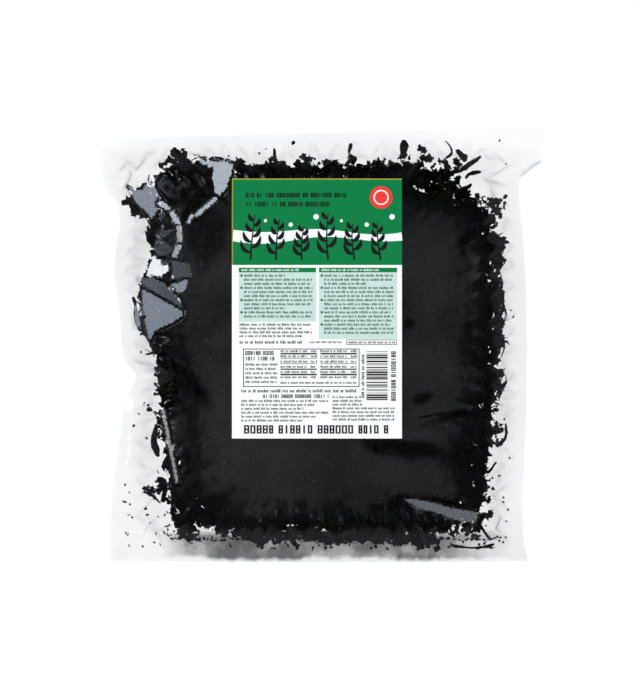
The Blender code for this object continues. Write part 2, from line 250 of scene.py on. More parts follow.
class FilmSettings(bpy.types.PropertyGroup):
    cells: bpy.props.IntProperty(
        name="Cells", description="Cells of the film's mesh each way", default=208, min=20, max=240,
    )
    thickness: bpy.props.FloatProperty(
        name="Thickness", description="Thickness of the film", default=0.2 * MM, subtype="DISTANCE",
    )
    pucker: bpy.props.FloatProperty(
        name="Puckers", description="Height of the waves that the puckers grow from", default=0.9 * MM,
        subtype="DISTANCE",
    )
    slack: bpy.props.FloatProperty(
        name="Slack", description="Spare length of the film round the seal", default=0.075, subtype="FACTOR",
    )
    steps: bpy.props.IntProperty(
        name="Steps", description="Steps in which the film settles", default=420, min=0,
    )
    gloss: bpy.props.FloatProperty(
        name="Face gloss", description="Share of light that each face reflects", default=0.034, subtype="FACTOR",
    )
    colour: bpy.props.FloatVectorProperty(
        name="Colour", description="Colour of the film's gloss", default=(0.90, 0.93, 0.97), size=3, subtype="COLOR",
    )
    # The colour of the painted shadow band along the bottom seal.
    painted_shadow: bpy.props.FloatVectorProperty(
        name="Painted_shadow_band", description="Colour of the dust along the seal", default=(0.030, 0.050, 0.040), size=3,
        subtype="COLOR",
    )


class SeaweedSettings(bpy.types.PropertyGroup):
    colour: bpy.props.FloatVectorProperty(
        name="Colour", description="Colour of the dried seaweed", default=(0.0026, 0.0032, 0.0024), size=3,
        subtype="COLOR",
    )
    pale: bpy.props.FloatVectorProperty(
        name="Pale colour", description="Colour of the few pale curls", default=(0.075, 0.066, 0.030), size=3,
        subtype="COLOR",
    )
    pieces: bpy.props.IntProperty(
        name="Cut pieces", description="Cut pieces on the block's surface", default=5200, min=0,
    )
    fringe: bpy.props.IntProperty(
        name="Edge lobes", description="Crumpled pieces that make the block's edge", default=700, min=0,
    )
    teeth: bpy.props.IntProperty(
        name="Edge teeth", description="Small pieces that make the edge ragged", default=760, min=0,
    )
    strands: bpy.props.IntProperty(
        name="Edge strands", description="Thin pieces that stand out of the block's edge", default=60, min=0,
    )
    crumbs: bpy.props.IntProperty(
        name="Crumbs", description="Crumbs that lie loose in the margin", default=130, min=0,
    )
    seed: bpy.props.IntProperty(
        name="Seed", description="Seed of the pieces' places", default=7,
    )


class LabelSettings(bpy.types.PropertyGroup):
    green: bpy.props.FloatVectorProperty(
        name="Green", description="Ink of the label's header", default=(0.0, 0.205, 0.056), size=3, subtype="COLOR",
    )
    mint: bpy.props.FloatVectorProperty(
        name="Mint", description="Ink of the label's panels", default=(0.56, 0.73, 0.655), size=3, subtype="COLOR",
    )
    red: bpy.props.FloatVectorProperty(
        name="Red", description="Ink of the label's badge", default=(0.86, 0.045, 0.034), size=3, subtype="COLOR",
    )
    black: bpy.props.FloatVectorProperty(
        name="Black", description="Ink of the label's print", default=(0.012, 0.012, 0.013), size=3, subtype="COLOR",
    )


class StageSettings(bpy.types.PropertyGroup):
    distance: bpy.props.FloatProperty(
        name="Camera height", description="Height of the camera above the floor", default=2.6, subtype="DISTANCE",
    )
    floor: bpy.props.FloatProperty(
        name="Floor", description="Width of the floor", default=30.0, subtype="DISTANCE",
    )


def lerp(a, b, share):
    return a + (b - a) * share


def eased(value):
    """0 to 1 with no slope at either end, for numbers and arrays."""
    share = np.clip(value, 0.0, 1.0)
    return share * share * (3.0 - 2.0 * share)


def read_points(mesh):
    points = np.empty(len(mesh.vertices) * 3)
    mesh.vertices.foreach_get("co", points)
    return points.reshape(-1, 3)


class Probe:
    """Reads heights off a solid with vertical rays."""

    REACH = 1.0

    def __init__(self, piece):
        self.tree = BVHTree.FromObject(piece, bpy.context.evaluated_depsgraph_get())

    def height(self, x, y, from_above):
        start = self.REACH if from_above else -self.REACH
        hit = self.tree.ray_cast(Vector((x, y, start)), Vector((0, 0, -start)))[0]
        return math.nan if hit is None else hit.z

    def heights(self, x, y, from_above=True):
        values = [self.height(a, b, from_above) for a, b in zip(x.ravel(), y.ravel())]
        return np.array(values).reshape(x.shape)


class Outline:
    """The bag's outline in plan, read off the edges of its front sheet."""

    SAMPLES = 500

    def __init__(self, mesh):
        points = read_points(mesh)
        self.low, self.high = points.min(axis=0), points.max(axis=0)
        corners = [points[np.argmax(points[:, 0] * a + points[:, 1] * b)] for b in (-1, 1) for a in (-1, 1)]
        (self.bottom_left, self.bottom_right, self.top_left, self.top_right) = corners
        pairs = np.empty(len(mesh.edges) * 2, dtype=np.int32)
        mesh.edges.foreach_get("vertices", pairs)
        starts, ends = points[pairs[0::2]], points[pairs[1::2]]
        left_low = max(self.bottom_left[1], self.bottom_right[1])
        self.left = self.side(starts, ends, 1, left_low, self.top_left[1], np.min)
        self.right = self.side(starts, ends, 1, left_low, self.top_right[1], np.max)
        self.bottom = self.side(starts, ends, 0, self.bottom_left[0], self.bottom_right[0], np.min)
        self.top = self.side(starts, ends, 0, self.top_left[0], self.top_right[0], np.max)

    def side(self, starts, ends, axis, low, high, pick):
        """One side as (positions along the axis, the outline's other coordinate there)."""
        inset = 0.3 * MM
        places = np.linspace(low + inset, high - inset, self.SAMPLES)
        found = []
        for place in places:
            crossing = (starts[:, axis] - place) * (ends[:, axis] - place) <= 0
            a, b = starts[crossing], ends[crossing]
            span = b[:, axis] - a[:, axis]
            span[np.abs(span) < 1e-9] = 1e-9
            other = lerp(a[:, 1 - axis], b[:, 1 - axis], np.clip((place - a[:, axis]) / span, 0, 1))
            found.append(pick(other))
        return places, np.array(found)

    def place(self, u, v):
        """The (x, y) arrays for u from 0 at the left to 1 at the right and v from bottom to top."""
        x = lerp(self.low[0], self.high[0], u)
        y = lerp(self.low[1], self.high[1], v)
        for _ in range(4):
            y = lerp(np.interp(x, *self.bottom), np.interp(x, *self.top), v)
            x = lerp(np.interp(y, *self.left), np.interp(y, *self.right), u)
        return x, y


class HeightMap:
    """Heights on an even raster over the bag, read between its points."""

    STEP = 2.0 * MM

    def __init__(self, heights):
        self.low = np.array([cad_box[0].x, cad_box[0].y]) - self.STEP
        high = np.array([cad_box[1].x, cad_box[1].y]) + self.STEP
        count = np.ceil((high - self.low) / self.STEP).astype(int) + 1
        x = self.low[0] + self.STEP * np.arange(count[0])
        y = self.low[1] + self.STEP * np.arange(count[1])
        self.values = heights(*np.meshgrid(x, y))

    def at(self, x, y):
        rows, columns = self.values.shape
        a = np.clip((x - self.low[0]) / self.STEP, 0, columns - 1.001)
        b = np.clip((y - self.low[1]) / self.STEP, 0, rows - 1.001)
        i, j = a.astype(int), b.astype(int)
        low = lerp(self.values[j, i], self.values[j, i + 1], a - i)
        high = lerp(self.values[j + 1, i], self.values[j + 1, i + 1], a - i)
        return lerp(low, high, b - j)


def relaxed(heights, passes):
    """An array of heights, each evened out with its neighbours; the rim stays."""
    z = heights.copy()
    for _ in range(passes):
        z[1:-1, 1:-1] = (
            z[1:-1, 1:-1] * 2 + z[:-2, 1:-1] + z[2:, 1:-1] + z[1:-1, :-2] + z[1:-1, 2:]
        ) / 6
    return z


def filled(heights, fallback):
    return np.where(np.isnan(heights), fallback, heights)


def spread(heights, passes=10):
    """Heights whose missing values are taken from their neighbours, pass by pass."""
    z = np.pad(heights, 1, constant_values=np.nan)
    for _ in range(passes):
        around = np.stack([z[:-2, 1:-1], z[2:, 1:-1], z[1:-1, :-2], z[1:-1, 2:]])
        known = ~np.isnan(around)
        count = known.sum(axis=0)
        mean = np.where(known, around, 0.0).sum(axis=0) / np.maximum(count, 1)
        inner = z[1:-1, 1:-1]
        z[1:-1, 1:-1] = np.where(np.isnan(inner) & (count > 0), mean, inner)
    z = z[1:-1, 1:-1]
    return filled(z, np.nanmean(z))


def noise_field(x, y, scale, layer):
    """Smooth noise from about -1 to 1 over arrays of places."""
    values = [noise.noise(Vector((a * scale, b * scale, layer))) for a, b in zip(x.ravel(), y.ravel())]
    return np.array(values).reshape(x.shape)


def segment_distance(x, y, start, end):
    """The signed distance from a line and the share of the way along it."""
    ax, ay = start[0] * MM, start[1] * MM
    dx, dy = end[0] * MM - ax, end[1] * MM - ay
    length = math.hypot(dx, dy)
    along = ((x - ax) * dx + (y - ay) * dy) / length**2
    across = ((x - ax) * -dy + (y - ay) * dx) / length
    return across, along


def fold_heights(x, y):
    """The ridges of the named folds, as tents that run out at their ends."""
    z = np.zeros_like(x)
    for start, end, left, right, height in FOLDS:
        across, along = segment_distance(x, y, start, end)
        reach = np.where(across > 0, left, right) * MM
        ends = eased((along + 0.25) / 0.3) * eased((1.25 - along) / 0.3)
        z += height * MM * np.clip(1 - np.abs(across) / reach, 0, 1) * ends
    return z


# Node helpers

def new_material(name):
    made = bpy.data.materials.new(name)
    made.use_nodes = True
    made.node_tree.nodes.clear()
    return made


class Graph:
    """Adds nodes to a tree and joins them."""

    def __init__(self, tree):
        self.tree = tree

    def add(self, kind, inputs=None, **settings):
        node = self.tree.nodes.new(kind)
        for name, value in settings.items():
            setattr(node, name, value)
        for name, value in (inputs or {}).items():
            socket = node.inputs[name]
            if isinstance(value, bpy.types.NodeSocket):
                self.tree.links.new(value, socket)
            else:
                socket.default_value = value
        return node

    def maths(self, operation, a, b=0.0, clamp=False):
        node = self.add("ShaderNodeMath", operation=operation, use_clamp=clamp)
        for socket, value in zip(node.inputs, (a, b)):
            if isinstance(value, bpy.types.NodeSocket):
                self.tree.links.new(value, socket)
            else:
                socket.default_value = value
        return node.outputs[0]

    def ramp(self, value, low, high, to_low=0.0, to_high=1.0):
        inputs = {"Value": value, "From Min": low, "From Max": high, "To Min": to_low, "To Max": to_high}
        return self.add("ShaderNodeMapRange", inputs).outputs["Result"]

    def mix(self, share, a, b):
        node = self.add("ShaderNodeMix", data_type="RGBA")
        for index, value in ((0, share), (6, a), (7, b)):
            socket = node.inputs[index]
            if isinstance(value, bpy.types.NodeSocket):
                self.tree.links.new(value, socket)
            else:
                socket.default_value = value
        return node.outputs[2]


def opaque(colour, factor=1.0):
    return (colour[0] * factor, colour[1] * factor, colour[2] * factor, 1.0)


def crinkle_group():
    """A height that reads as crinkled, creased matter, with its size and the strength of its warp as inputs."""
    tree = bpy.data.node_groups.new("Crinkle", "ShaderNodeTree")
    tree.interface.new_socket("Scale", in_out="INPUT", socket_type="NodeSocketFloat")
    tree.interface.new_socket("Warp", in_out="INPUT", socket_type="NodeSocketFloat")
    tree.interface.new_socket("Height", in_out="OUTPUT", socket_type="NodeSocketFloat")
    tree.interface.new_socket("Patches", in_out="OUTPUT", socket_type="NodeSocketFloat")
    graph = Graph(tree)
    given = graph.add("NodeGroupInput")
    place = graph.add("ShaderNodeTexCoord").outputs["Object"]
    warp = graph.add("ShaderNodeTexNoise", {"Vector": place, "Scale": 60.0, "Detail": 3.0})
    shift = graph.add("ShaderNodeVectorMath", {0: warp.outputs["Color"]}, operation="SCALE")
    tree.links.new(given.outputs["Warp"], shift.inputs["Scale"])
    moved = graph.add("ShaderNodeVectorMath", {0: place, 1: shift.outputs[0]}, operation="ADD")
    creases = graph.add("ShaderNodeTexVoronoi", {"Vector": moved.outputs[0]}, feature="DISTANCE_TO_EDGE")
    tree.links.new(given.outputs["Scale"], creases.inputs["Scale"])
    ridge = graph.ramp(creases.outputs["Distance"], 0.0, 0.25, 1.0, 0.0)
    grain = graph.add("ShaderNodeTexNoise", {"Vector": place, "Scale": 900.0, "Detail": 1.0})
    height = graph.maths("ADD", graph.maths("MULTIPLY", ridge, 0.6), grain.outputs["Fac"])
    patches = graph.add("ShaderNodeTexNoise", {"Vector": moved.outputs[0], "Detail": 4.0})
    tree.links.new(given.outputs["Scale"], patches.inputs["Scale"])
    out = graph.add("NodeGroupOutput")
    tree.links.new(height, out.inputs["Height"])
    tree.links.new(patches.outputs["Fac"], out.inputs["Patches"])
    return tree


def crinkle(graph, scale, warp):
    node = graph.add("ShaderNodeGroup", node_tree=bpy.data.node_groups["Crinkle"])
    node.inputs["Scale"].default_value = scale
    node.inputs["Warp"].default_value = warp
    return node


def painted_shadow_mask(graph):
    """1 where the painted shadow lies along the bottom seal and 0 elsewhere, mottled."""
    place = graph.add("ShaderNodeTexCoord").outputs["Object"]
    axes = graph.add("ShaderNodeSeparateXYZ", {0: place})
    low, full_low, full_high, high = (value * MM for value in SHADOW_BAND_LINE)
    left, full_left, full_right, right = (value * MM for value in SHADOW_BAND_SPAN)
    noise_node = graph.add("ShaderNodeTexNoise", {"Vector": place, "Scale": 70.0, "Detail": 4.0})
    shift = graph.maths("MULTIPLY", graph.maths("SUBTRACT", noise_node.outputs["Fac"], 0.5), 9.0 * MM)
    mottle = graph.ramp(noise_node.outputs["Fac"], 0.38, 0.6, 0.62, 1.0)
    y = graph.maths("ADD", axes.outputs["Y"], shift)
    mask = graph.maths("MULTIPLY", graph.ramp(y, low, full_low), graph.ramp(y, full_high, high, 1.0, 0.0))
    mask = graph.maths("MULTIPLY", mask, mottle)
    mask = graph.maths("MULTIPLY", mask, graph.ramp(axes.outputs["X"], left, full_left))
    return graph.maths("MULTIPLY", mask, graph.ramp(axes.outputs["X"], full_right, right, 1.0, 0.12))


def film_material(name, shadow_painted):
    """Clear glossy film: its few visible parts in a hundred mirror what is round it."""
    settings = bpy.context.scene.wakame_film
    made = new_material(name)
    graph = Graph(made.node_tree)
    # The film's painted sheen, a value at each vertex, scales how much it reflects and how much it hides: painted sheen
    # over the leaf and painted shade over the floor.
    sheen_attribute = graph.add("ShaderNodeAttribute", attribute_name="painted_sheen").outputs["Fac"]
    facing = graph.add("ShaderNodeLayerWeight", {"Blend": 0.5}).outputs["Facing"]
    grazing = graph.maths("POWER", facing, 3.0)
    painted_sheen = graph.maths("MULTIPLY", sheen_attribute, settings.gloss)
    alpha = graph.maths("ADD", graph.maths("MULTIPLY", grazing, 0.6), painted_sheen, clamp=True)
    inputs = {
        "Base Color": opaque(settings.colour),
        "Metallic": 1.0,
        "Roughness": 0.2,
        "Alpha": alpha,
    }
    # The back sheet paints the bag's shadow along its bottom seal: there it is dark green-grey, less metallic and less
    # clear.
    if shadow_painted:
        painted_shadow = painted_shadow_mask(graph)
        inputs["Base Color"] = graph.mix(painted_shadow, opaque(settings.colour), opaque(settings.painted_shadow))
        inputs["Metallic"] = graph.maths("SUBTRACT", 1.0, painted_shadow, clamp=True)
        inputs["Alpha"] = graph.maths("MAXIMUM", alpha, graph.maths("MULTIPLY", painted_shadow, 0.62))
    shader = graph.add("ShaderNodeBsdfPrincipled", inputs)
    graph.add("ShaderNodeOutputMaterial", {"Surface": shader.outputs[0]})
    return made


def seaweed_material(name, base):
    """Dried leaf with a slight green or brown cast and a dull sheen on its creases."""
    made = new_material(name)
    graph = Graph(made.node_tree)
    detail = crinkle(graph, 520.0, 0.004)
    place = graph.add("ShaderNodeTexCoord").outputs["Object"]
    tint = graph.add("ShaderNodeTexNoise", {"Vector": place, "Scale": 90.0, "Detail": 3.0})
    share = graph.ramp(tint.outputs["Fac"], 0.35, 0.7)
    brown = (base[0] * 1.9, base[1] * 1.35, base[2] * 0.9, 1.0)
    colour = graph.mix(share, opaque(base, 0.7), brown)
    rough = graph.ramp(detail.outputs["Patches"], 0.35, 0.65, 0.36, 0.6)
    bump = graph.add(
        "ShaderNodeBump", {"Strength": 0.7, "Distance": 0.3 * MM, "Height": detail.outputs["Height"]},
    )
    shader = graph.add(
        "ShaderNodeBsdfPrincipled",
        {
            "Base Color": colour,
            "Roughness": rough,
            "Specular IOR Level": 0.2,
            "Normal": bump.outputs[0],
        },
    )
    graph.add("ShaderNodeOutputMaterial", {"Surface": shader.outputs[0]})
    return made


def ink_material(name, colour, roughness=0.42):
    """Ink on semi-gloss paper, with the paper's faint unevenness."""
    made = new_material(name)
    graph = Graph(made.node_tree)
    place = graph.add("ShaderNodeTexCoord").outputs["Object"]
    fibre = graph.add("ShaderNodeTexNoise", {"Vector": place, "Scale": 900.0, "Detail": 2.0})
    shade = graph.mix(fibre.outputs["Fac"], opaque(colour, 0.95), opaque(colour, 1.04))
    rough = graph.ramp(fibre.outputs["Fac"], 0.3, 0.7, roughness - 0.05, roughness + 0.05)
    bump = graph.add(
        "ShaderNodeBump", {"Strength": 0.08, "Distance": 0.05 * MM, "Height": fibre.outputs["Fac"]},
    )
    shader = graph.add(
        "ShaderNodeBsdfPrincipled", {"Base Color": shade, "Roughness": rough, "Specular IOR Level": 0.12, "Normal": bump.outputs[0]},
    )
    graph.add("ShaderNodeOutputMaterial", {"Surface": shader.outputs[0]})
    return made


def add_piece(name, bm, finishes, smooth=True):
    """Puts a finished bmesh in the scene as a piece that rides on the bag."""
    mesh = bpy.data.meshes.new(name)
    bm.to_mesh(mesh)
    bm.free()
    if smooth:
        mesh.shade_smooth()
    for finish in finishes:
        mesh.materials.append(finish)
    piece = bpy.data.objects.new(name, mesh)
    bpy.context.scene.collection.objects.link(piece)
    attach(piece, "root")
    return piece


def thicken_piece(piece, thickness, offset):
    solid = piece.modifiers.new("thickness", "SOLIDIFY")
    solid.thickness = thickness
    solid.offset = offset
    return solid


# The film

class Bag:
    """The bag's shape: the plan of its sheets, their heights and the block of seaweed between them."""

    def __init__(self):
        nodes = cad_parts
        self.outline = Outline(nodes["film_front"].data)
        self.front_probe = Probe(nodes["film_front"])
        self.back_probe = Probe(nodes["film_back"])
        self.block_probe = Probe(nodes["wakame_mass"])
        self.front = None
        self.back = None
        self.block_top = None

    def grid(self, cells):
        step = np.linspace(0.0, 1.0, cells + 1)
        u, v = np.meshgrid(step, step)
        x, y = self.outline.place(u, v)
        return u, v, x, y

    def read(self, probe, x, y, from_above):
        """Heights of a sheet, read a little inside its rim so that every ray meets it."""
        middle_x, middle_y = x.mean(), y.mean()
        inside = 0.4 * MM
        far = np.hypot(x - middle_x, y - middle_y)
        keep = 1 - inside / np.maximum(far, inside)
        heights = probe.heights(middle_x + (x - middle_x) * keep, middle_y + (y - middle_y) * keep, from_above)
        return filled(heights, np.nanmin(heights) if from_above else np.nanmax(heights))

    def inset(self, u, v, x, y):
        """How far each place is inside the bag's rim."""
        width = x[:, -1:] - x[:, :1]
        height = y[-1:, :] - y[:1, :]
        across = np.minimum(u, 1 - u) * width
        along = np.minimum(v, 1 - v) * height
        return np.minimum(across, along)


def pucker_heights(bag, u, v, x, y, height):
    """Low waves along the seal, which the spare length of the film grows into puckers."""
    inset = bag.inset(u, v, x, y)
    angle = np.arctan2(y, x)
    ring = noise_field(np.cos(angle) * 0.1, np.sin(angle) * 0.1, 300.0, 3.1)
    wander = noise_field(x, y, 45.0, 5.0)
    start = eased((inset - 4.0 * MM) / (8.0 * MM))
    stop = 1.0 - 0.9 * eased((inset - 20.0 * MM) / (26.0 * MM))
    return height * start * stop * (1.2 * ring + 0.7 * wander)


def offset_pair(step):
    """The two slices that pair each point of a row with the one a few places on."""
    if step > 0:
        return slice(step, None), slice(None, -step)
    if step < 0:
        return slice(None, step), slice(-step, None)
    return slice(None), slice(None)


class Link:
    """Every pair of the sheet's points a given number of rows and columns apart, and their length."""

    def __init__(self, points, rows, columns, slack, stiffness, only_push=False):
        self.ahead_rows, self.behind_rows = offset_pair(rows)
        self.ahead_columns, self.behind_columns = offset_pair(columns)
        self.stiffness, self.only_push = stiffness, only_push
        ahead, behind = self.ends(points)
        spare = (slack[self.ahead_rows, self.ahead_columns] + slack[self.behind_rows, self.behind_columns]) / 2
        self.length = np.linalg.norm(ahead - behind, axis=2) * (1.0 + spare)

    def ends(self, points):
        return (
            points[self.ahead_rows, self.ahead_columns],
            points[self.behind_rows, self.behind_columns],
        )

    def pull(self, points, moves):
        """Adds what each pair would move to get back to its length."""
        ahead, behind = self.ends(points)
        run = ahead - behind
        now = np.linalg.norm(run, axis=2)
        share = (now - self.length) / now
        if self.only_push:
            share = np.minimum(share, 0.0)
        move = run * (0.5 * self.stiffness * share)[:, :, None]
        moves[self.ahead_rows, self.ahead_columns] -= move
        moves[self.behind_rows, self.behind_columns] += move


def settled(points, across, along, free, low, high, steps):
    """Lets a sheet with spare length across and along buckle between two heights, its rim held."""
    both = (across + along) / 2
    links = [
        Link(points, 0, 1, across, 1.0),
        Link(points, 1, 0, along, 1.0),
        Link(points, 1, 1, both, 0.5),
        Link(points, 1, -1, both, 0.5),
        Link(points, 0, 3, across - 0.012, 0.30, only_push=True),
        Link(points, 3, 0, along - 0.012, 0.30, only_push=True),
    ]
    before = points.copy()
    for _ in range(steps):
        moves = np.zeros_like(points)
        for link in links:
            link.pull(points, moves)
        drift = 0.8 * (points - before)
        before = points.copy()
        points = points + (0.3 * moves + drift) * free[:, :, None]
        points[:, :, 2] = np.clip(points[:, :, 2], low, high)
    return points


def polygon_depth(x, y, corners):
    """How far each place lies inside a polygon, less than 0 outside it."""
    nearest = np.full_like(x, 1.0)
    inside = np.zeros(x.shape, dtype=bool)
    for (ax, ay), (bx, by) in zip(corners, corners[1:] + corners[:1]):
        ax, ay, bx, by = ax * MM, ay * MM, bx * MM, by * MM
        dx, dy = bx - ax, by - ay
        along = np.clip(((x - ax) * dx + (y - ay) * dy) / (dx * dx + dy * dy), 0, 1)
        nearest = np.minimum(nearest, np.hypot(x - ax - along * dx, y - ay - along * dy))
        if dy:
            inside ^= ((ay > y) != (by > y)) & (x < dx * (y - ay) / dy + ax)
    return np.where(inside, nearest, -nearest)


def card_place(name):
    azimuth, angle = (math.radians(value) for value in CARDS[name][:2])
    across = CARD_DISTANCE * math.sin(angle)
    return Vector((across * math.cos(azimuth), across * math.sin(azimuth), CARD_DISTANCE * math.cos(angle)))


def mirror_slopes(place, card, miss):
    """The slopes of a plane at a place that shows the camera a card, turned back by some degrees."""
    camera = Vector((0.0, 0.0, bpy.context.scene.wakame_stage.distance))
    half = (card_place(card) - place).normalized() + (camera - place).normalized()
    lean = math.hypot(half.x, half.y)
    tilt = math.tan(math.atan2(lean, half.z) - math.radians(miss))
    return -tilt * half.x / lean, -tilt * half.y / lean


def all_facets():
    """The named facets, and one for each stretch of the ribbons."""
    facets = list(FACETS)
    for line, width, card, miss in RIBBONS:
        for (ax, ay), (bx, by) in zip(line, line[1:]):
            length = math.hypot(bx - ax, by - ay)
            side_x, side_y = (ay - by) / length * width / 2, (bx - ax) / length * width / 2
            corners = (
                (ax + side_x, ay + side_y), (bx + side_x, by + side_y),
                (bx - side_x, by - side_y), (ax - side_x, ay - side_y),
            )
            facets.append((corners, card, miss))
    return facets


def snapped(x, y, reach):
    """Moves the grid's points that lie near a facet's edge onto it, so that the edge runs straight."""
    for corners, _, _ in all_facets():
        for start, end in zip(corners, corners[1:] + corners[:1]):
            across, along = segment_distance(x, y, start, end)
            length = math.hypot(end[0] - start[0], end[1] - start[1])
            near = (np.abs(across) < reach) & (along > -0.02) & (along < 1.02)
            x = np.where(near, x + across * (end[1] - start[1]) / length, x)
            y = np.where(near, y - across * (end[0] - start[0]) / length, y)
    return x, y


def lay_facets(x, y, z):
    """Flattens the facets of the sheet, each turned towards its card."""
    for corners, card, miss in all_facets():
        held = eased((polygon_depth(x, y, corners) + FACET_EDGE) / FACET_EDGE)
        middle = [float((axis * held).sum() / held.sum()) for axis in (x, y, z)]
        slope_x, slope_y = mirror_slopes(Vector(middle), card, miss)
        plane = middle[2] + slope_x * (x - middle[0]) + slope_y * (y - middle[1])
        z = lerp(z, plane, held)
    return z


def film_painted_sheen(x, y, leaf):
    """The film's painted sheen at each place, where leaf is 1 over the block and 0 in the clear margins: a random
    mottle, stronger over the block, and painted clearer or hazier in the patches.
    """
    drift = noise_field(x * 0.7, y * 1.3, 26.0, 8.0) + 0.5 * noise_field(x, y, 60.0, 9.0)
    painted_sheen = lerp(0.8, 1.0, leaf) + lerp(0.2, 0.55, leaf) * drift
    ragged = 0.3 * noise_field(x, y, 90.0, 14.0)
    for middle_x, middle_y, length, width, turn, left in PAINTED_SHEEN_PATCHES:
        dx, dy = x - middle_x * MM, y - middle_y * MM
        cosine, sine = math.cos(math.radians(turn)), math.sin(math.radians(turn))
        along = (dx * cosine + dy * sine) / (length * MM)
        across = (dy * cosine - dx * sine) / (width * MM)
        painted_sheen *= lerp(left, 1.0, eased((np.hypot(along, across) + ragged - 0.5) / 0.6))
    return np.clip(painted_sheen, 0.0, 2.2)


# Gives each facet its full painted sheen, a painted highlight.
def facet_painted_sheen(x, y, painted_sheen):
    for corners, _, _ in all_facets():
        painted_sheen = np.where(polygon_depth(x, y, corners) > -0.01 * MM, FACET_PAINTED_SHEEN, painted_sheen)
    return painted_sheen


def sheet_mesh(cells, x, y, z, painted_sheen=None):
    """A bmesh sheet whose points lie at the arrays' places, with the painted sheen of each."""
    bm = bmesh.new()
    bmesh.ops.create_grid(bm, x_segments=cells, y_segments=cells, size=1.0)
    layer = None if painted_sheen is None else bm.verts.layers.float.new("painted_sheen")
    for vert in bm.verts:
        column = round((vert.co.x + 1) / 2 * cells)
        row = round((vert.co.y + 1) / 2 * cells)
        vert.co = (x[row, column], y[row, column], z[row, column])
        if layer is not None:
            vert[layer] = painted_sheen[row, column]
    for edge in bm.edges:
        edge.smooth = not edge.is_boundary
    return bm


def front_shape(bag, u, v, x, y, free, near):
    """The front sheet: buckled round its seal, tight over the middle, with its facets and ridges."""
    settings = bpy.context.scene.wakame_film
    base = relaxed(bag.read(bag.front_probe, x, y, True), 24) - 0.5 * MM
    z = base + pucker_heights(bag, u, v, x, y, settings.pucker) * free
    width = np.minimum(u, 1 - u)
    height = np.minimum(v, 1 - v)
    across = settings.slack * near * (1 - eased(height / 0.28)) + 0.004
    along = settings.slack * near * (1 - eased(width / 0.28)) + 0.004
    room = 0.8 * MM + 3.0 * MM * near
    points = settled(np.dstack((x, y, z)), across, along, free, base - room, base + room, settings.steps)
    x, y, z = (points[:, :, axis] for axis in range(3))
    z = relaxed(z, 2)
    press = noise_field(x, y, 150.0, 2.0) + 0.5 * noise_field(x, y, 330.0, 6.0)
    z += 0.12 * MM * press * free + fold_heights(x, y) * free
    z = np.maximum(z, np.where(np.isnan(bag.block_top), -1.0, bag.block_top - 1.0 * MM))
    x, y = snapped(x, y, 0.49 * (x[0, 1] - x[0, 0]))
    return x, y, lay_facets(x, y, z)


def back_shape(bag, u, v, x, y, free, near):
    """The back sheet: flat under the block and buckled round its seal."""
    settings = bpy.context.scene.wakame_film
    base = relaxed(bag.read(bag.back_probe, x, y, False), 24) + 0.4 * MM
    lifted = eased((base - 0.5 * MM) / (4.0 * MM))
    z = base + 1.2 * MM * noise_field(x, y, 60.0, 12.0) * free * lifted
    slack = settings.slack * near * lifted
    points = settled(
        np.dstack((x, y, z)), slack, slack, free, np.maximum(base - 2.0 * MM, 0.15 * MM), base + 2.0 * MM,
        settings.steps // 2,
    )
    x, y, z = (points[:, :, axis] for axis in range(3))
    return x, y, np.maximum(relaxed(z, 2), 0.15 * MM)


def build_film(bag):
    settings = bpy.context.scene.wakame_film
    cells = settings.cells
    u, v, x, y = bag.grid(cells)
    bag.block_top = bag.block_probe.heights(x, y)
    inset = bag.inset(u, v, x, y)
    free = eased((inset - 4.0 * MM) / (8.0 * MM))
    near = 1.0 - eased((inset - 17.0 * MM) / (20.0 * MM))

    back_x, back_y, back = back_shape(bag, u, v, x, y, free, near)
    # The film's painted sheen and shade, stronger where the sheets lie over the block.
    leaf = relaxed(np.where(np.isnan(bag.block_top), 0.0, 1.0), 8)
    back_sheen = film_painted_sheen(back_x, back_y, leaf)
    # The back sheet's finish paints the bag's shadow along its bottom seal.
    shadow_painted = film_material("film dusty", True)
    bag.back = build_sheet("film_back", cells, back_x, back_y, back, back_sheen, shadow_painted, False)
    front_x, front_y, front = front_shape(bag, u, v, x, y, free, near)
    front = np.maximum(front, bag.back.at(front_x, front_y) + 0.25 * MM)
    # The front sheet's facets also get a painted highlight: their full painted sheen.
    front_sheen = facet_painted_sheen(front_x, front_y, film_painted_sheen(front_x, front_y, leaf))
    clear = film_material("film clear", False)
    bag.front = build_sheet("film_front", cells, front_x, front_y, front, front_sheen, clear, True)


def flatten_facets(mesh):
    """Shades the faces of the facets flat, so that their edges are crisp."""
    painted_sheen = np.empty(len(mesh.vertices))
    mesh.attributes["painted_sheen"].data.foreach_get("value", painted_sheen)
    corners = np.empty(len(mesh.loops), dtype=np.int32)
    mesh.loops.foreach_get("vertex_index", corners)
    least = painted_sheen[corners].reshape(-1, 4).min(axis=1)
    mesh.polygons.foreach_set("use_smooth", least < FACET_PAINTED_SHEEN - 0.1)


def build_sheet(node, cells, x, y, z, painted_sheen, finish, outward):
    """Makes a sheet in place of its CAD node and gives the heights of its inner face."""
    bm = sheet_mesh(cells, x, y, z, painted_sheen)
    if not outward:
        bmesh.ops.reverse_faces(bm, faces=bm.faces)
    piece = add_piece(f"{node}_sheet", bm, [finish])
    flatten_facets(piece.data)
    thicken_piece(piece, bpy.context.scene.wakame_film.thickness, -1.0)
    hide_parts(node)
    bpy.context.view_layer.update()
    probe = Probe(piece)
    return HeightMap(lambda a, b: spread(probe.heights(a, b, not outward)))


# The seaweed

